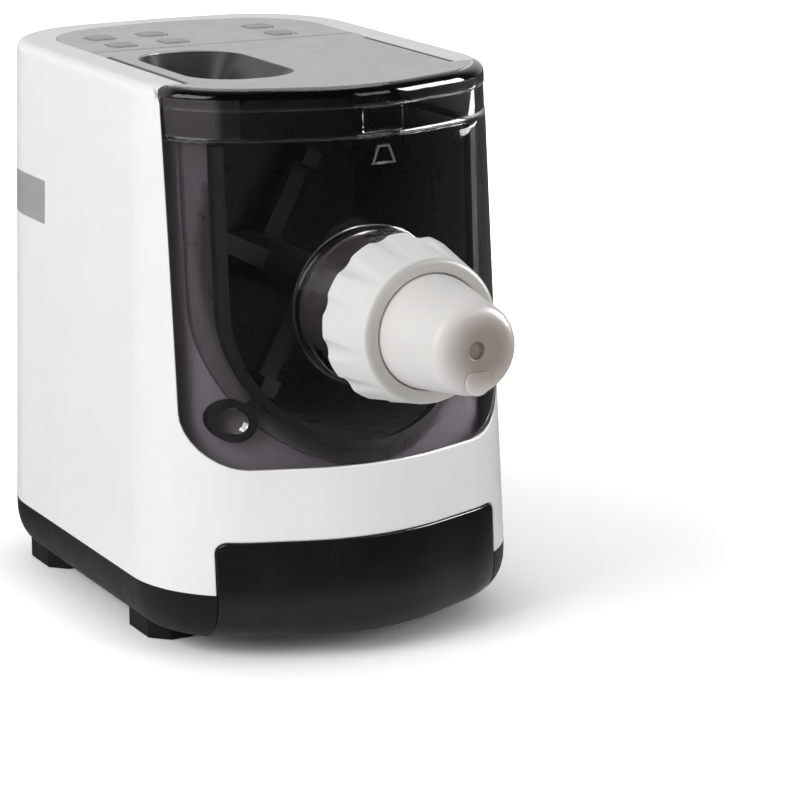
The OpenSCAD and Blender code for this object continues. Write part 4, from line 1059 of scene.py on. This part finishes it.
def nut():
    """Nut with finger flutes. d is the distance in front of its back edge."""
    count = 360
    angles = 2 * math.pi * np.arange(count) / count
    pitch = 2 * math.pi / FLUTES
    off = (angles % pitch) - pitch / 2
    collar, shoulder, front_r = 1.5, 28.3, 3

    def ring(r, d, fluted=False):
        radius = np.full(count, float(r))
        if fluted:
            # the lesser of the cone's radius and the flute's floor, softly blended near 40 mm
            axis = NUT_BACK_R + 6.2 - (d + 2) * math.tan(math.radians(6.5))
            reach = FLUTE_R ** 2 - (axis * np.sin(off)) ** 2
            floor = axis * np.cos(off) - np.sqrt(np.clip(reach, 0, None))
            floor = np.where(reach > 0, floor, 99)
            soft, near = 0.4, 40
            both = np.exp(-(radius - near) / soft) + np.exp(-(floor - near) / soft)
            radius = near - soft * np.log(both)
        y = np.full(count, NUT_BACK - d)
        return np.stack([radius * np.cos(angles), y, AXIS_Z + radius * np.sin(angles)], 1)

    def cone(d):
        share = (d - collar) / (NUT_LEN - front_r - collar)
        return NUT_BACK_R + (NUT_FRONT_R - NUT_BACK_R) * share

    rings = [ring(NUT_BACK_R - 1.5, 0, True), ring(NUT_BACK_R - 0.5, 0.5, True)]
    rings += [ring(cone(d), d, True)
              for d in (1.5, 3, 6, 9, 12, 15, 18, 21, 23, 25, 26.5, 28, 29.5, 31)]
    rings += [ring(NUT_FRONT_R - front_r * (1 - math.cos(a)), NUT_LEN - front_r * (1 - math.sin(a)))
              for a in arc(0, 90, 8)]
    rings += [ring(NUT_MOUTH_R + 0.6, NUT_LEN), ring(NUT_MOUTH_R, NUT_LEN - 0.6)]
    rings += [ring(NUT_MOUTH_R, shoulder), ring(NUT_BORE_R, shoulder), ring(NUT_BORE_R, 0)]
    shape = Solid()
    shape.band(rings + [rings[0]])
    piece = make("nut_piece", shape)
    shade(piece, 34)
    return dress(piece, ivory_nut, "nut", ["nut"])


def pasta_hole(angle, y):
    """Tool for one hole through the wall of the die, at an angle in degrees from straight down."""
    t = math.radians(angle)
    away, side = np.array([math.sin(t), 0, -math.cos(t)]), np.array([math.cos(t), 0, math.sin(t)])
    along = np.array([0, 1, 0])
    middle = np.array([0, y, AXIS_Z])
    circle_at = [1.3 * (side * math.cos(u) + along * math.sin(u)) for u in arc(0, 360, 16)[:-1]]
    return cutter([[away * reach + p + middle for p in circle_at] for reach in (8, 40)])


def die():
    """Die with a dished face, a dimple in it, a key and the pasta holes."""
    back, front, nose = DIE_BACK, DIE_FRONT + KEY_PROUD, NUT_FACE
    face_r, round_r = 4.8, 6.5
    lean = (DIE_ROOT_R - DIE_TIP_R) / (nose - front - 4)
    tip = DIE_TIP_R + lean * (round_r - 4)
    # (radius, y) from the bottom of the dimple, over the front and back along the inside
    profile = [(0, front + 3), (4.0, front + 3), (4.3, front + 2.7), (4.3, front + 0.5)]
    profile += [(face_r, front)]
    profile += [(tip - round_r * (1 - math.cos(a)), front + round_r * (1 - math.sin(a)))
                for a in arc(90, 0, 12)]
    profile += [(DIE_ROOT_R, nose), (DIE_ROOT_R, back - 4.4), (29.8, back - 4), (29.8, back)]
    profile += [(DIE_ROOT_R - 5, back), (DIE_TIP_R - 5, front + 6), (0, front + 6)]
    piece = make("die_piece", revolve(profile, 128))
    # round key with a flat top, on the lower half of the front
    key_z = AXIS_Z - 14.8
    key = [(KEY_R * math.cos(t), key_z + KEY_R * math.sin(t)) for t in arc(135, 405, 36)]
    levels = ((-1, 0), (1.1, 0), (1.45, 0.15), (KEY_PROUD, 0.5))
    rings = [[(x, front - d, z) for x, z in drawn_in(key, inset)] for d, inset in levels]
    combine(piece, cutter(rings[::-1]), "UNION")
    for row in range(5):
        for angle in (-28, -14, 0, 14, 28):
            shift = 3 if abs(angle) == 14 else 0
            combine(piece, pasta_hole(angle, nose - 5 - 6 * row - shift))
    shade(piece, 32)
    return dress(piece, ivory_die, "die", ["die"])


def drawer_front():
    edge = drawer_edge(BASE_BOTTOM + 0.05)
    piece = make("drawer_face", skin_plate(edge, 0.9, COVER_T, base_inset, 5))
    shade(piece, 30)
    return dress(piece, gloss_black, "drawer", ["drawer_front"])


front_cover()
catch_rim()
lid_skirt()
skirt_lining()
latch()
lid_plate()
control_panel()
for place in BUTTONS:
    button(*place)
funnel()
slot_strips()
nut()
die()
drawer_front()


# ---------- finishes of the nodes that stay as they are ----------

# Each finish, the radius of the softened edges, and the nodes that have them
FINISHES = [
    (foot_rubber, 1.0, "feet"),
    (zinc_steel, 0, "foot_screws board_screws gearbox_screws idler_axle output_gear drive_shaft"),
    (zinc_steel, 0, "motor_rotor lid_hinge_pins"),
    (circuit_board, 0, "control_board power_board"),
    (black_plastic, 0.5, "power_inlet"),
    (black_plastic, 0.6, "drawer_tray"),
    (black_plastic, 0, "motor_stand cooling_fan drawer_rails"),
    (brass, 0.3, "inlet_pins"),
    (brass, 0, "shaft_bearings motor_pinion"),
    (inner_plastic, 0, "bulkhead"),
    (liner_plastic, 0.4, "bay_liner"),
    (bowl_plastic, 0.5, "mixing_bowl"),
    (silicone, 0, "shaft_seal die_seal"),
    (silicone, 0.9, "bowl_gasket"),
    (cast_alloy, 0, "gearbox_housing gearbox_cover"),
    (auger_plastic, 0, "idler_gear auger"),
    (paddle_plastic, 1.2, "mixing_paddle"),
    (motor_can, 0, "motor_case"),
    (winding, 0, "motor_stator"),
    (barrel_plastic, 0.4, "extruder_barrel"),
]
for material, edge, names in FINISHES:
    for name in names.split():
        for slot in nodes[name].material_slots:
            slot.material = material
        if edge:
            soften(nodes[name], edge)


# ---------- stage, lights and camera ----------

def camera():
    """Camera at the photograph's place: a long lens, above and left of the machine's front."""
    data = bpy.data.cameras.new("camera")
    data.sensor_width = 36.0
    data.lens = 146.27
    data.clip_end = 20
    cam = bpy.data.objects.new("camera", data)
    forward = Vector((0.451731, 0.855870, -0.251843))
    right = Vector((0.884000, -0.467478, -0.003056))
    up = Vector((0.120347, 0.221248, 0.967763))
    place = Vector((-0.718909, -1.549830 + BODY_Y * MM, 0.540077))
    turn = Matrix((right, up, -forward)).transposed().to_4x4()
    cam.matrix_world = Matrix.Translation(place) @ turn
    bpy.context.scene.collection.objects.link(cam)
    bpy.context.scene.camera = cam


def softbox(name, place, target, width, height, power):
    """Rectangular lamp that faces target. Returns it."""
    light = bpy.data.lights.new(name, "AREA")
    light.shape = "RECTANGLE"
    light.size = width
    light.size_y = height
    light.energy = power
    lamp = bpy.data.objects.new(name, light)
    lamp.location = place
    lamp.rotation_euler = (Vector(target) - Vector(place)).to_track_quat("-Z", "Y").to_euler()
    bpy.context.scene.collection.objects.link(lamp)
    return lamp


def seen(tree, path):
    """1 for rays from the camera, also through smoked plastic, and 0 for all others."""
    inputs = {0: path["Is Camera Ray"], 1: path["Is Transmission Ray"]}
    return add(tree, "Math", inputs, operation="MAXIMUM").outputs[0]


def floor():
    """Large pale floor that shows as white and keeps the machine's soft shadow."""
    bm = bmesh.new()
    bmesh.ops.create_grid(bm, x_segments=4, y_segments=4, size=6.0)
    mesh = bpy.data.meshes.new("floor")
    bm.to_mesh(mesh)
    bm.free()
    obj = bpy.data.objects.new("floor", mesh)
    bpy.context.scene.collection.objects.link(obj)
    material = bpy.data.materials.new("floor_white")
    material.use_nodes = True
    tree = material.node_tree
    tree.nodes.clear()

    def diffuse(color):
        return add(tree, "BsdfDiffuse", {"Color": color}).outputs[0]

    place = add(tree, "TexCoord").outputs["Object"]
    away = vector_math(tree, "LENGTH", place, output="Value")
    path = add(tree, "LightPath").outputs
    plain = diffuse((0.9, 0.9, 0.9, 1))
    lift = diffuse(remap(tree, away, 0.15, 0.8, 0.6, 2.5))
    bright = add(tree, "AddShader", {0: plain, 1: lift}).outputs[0]
    surface = mix_shaders(tree, seen(tree, path), plain, bright)
    # further out, the studio is dim in reflections
    dim = diffuse((0.10, 0.10, 0.10, 1))
    far = remap(tree, away, 0.10, 0.35, 0.0, 1.0)
    far = add(tree, "Math", {0: far, 1: path["Is Glossy Ray"]}, operation="MULTIPLY").outputs[0]
    add(tree, "OutputMaterial", {"Surface": mix_shaders(tree, far, surface, dim)})
    mesh.materials.append(material)


def world():
    """Soft even surroundings: white to the camera, dimmer in reflections and on the object."""
    sky = bpy.data.worlds.new("studio")
    bpy.context.scene.world = sky
    sky.use_nodes = True
    tree = sky.node_tree
    tree.nodes.clear()

    def background(strength):
        inputs = {"Color": (1, 1, 1, 1), "Strength": strength}
        return add(tree, "Background", inputs).outputs[0]

    path = add(tree, "LightPath").outputs
    direction = add(tree, "TexCoord").outputs["Generated"]
    back = add(tree, "SeparateXYZ", {0: direction}).outputs["Y"]
    dim = background(remap(tree, back, 0.2, 0.75, 0.07, 0.75))
    surface = mix_shaders(tree, path["Is Glossy Ray"], background(0.5), dim)
    surface = mix_shaders(tree, seen(tree, path), surface, background(1.0))
    add(tree, "OutputWorld", {"Surface": surface})


camera()
floor()
world()
softbox("key", (-1.8, -0.4, 1.1), (0, 0.05, 0.15), 1.2, 1.2, 21)
softbox("fill", (1.0, -1.7, 0.8), (0, 0, 0.15), 0.8, 0.8, 6)
softbox("top", (0.1, 0.3, 1.8), (0, 0, 0.2), 1.2, 1.2, 1)
for lamp in (
    softbox("edge_high", (0.95, -0.42, 0.55), (0.06, -0.065, 0.28), 0.6, 0.5, 28),
    softbox("edge_low", (0.97, -0.05, 0.152), (0.06, -0.065, 0.152), 0.5, 0.01, 0.18),
):
    lamp.visible_diffuse = False

bpy.context.scene.view_settings.view_transform = "Standard"
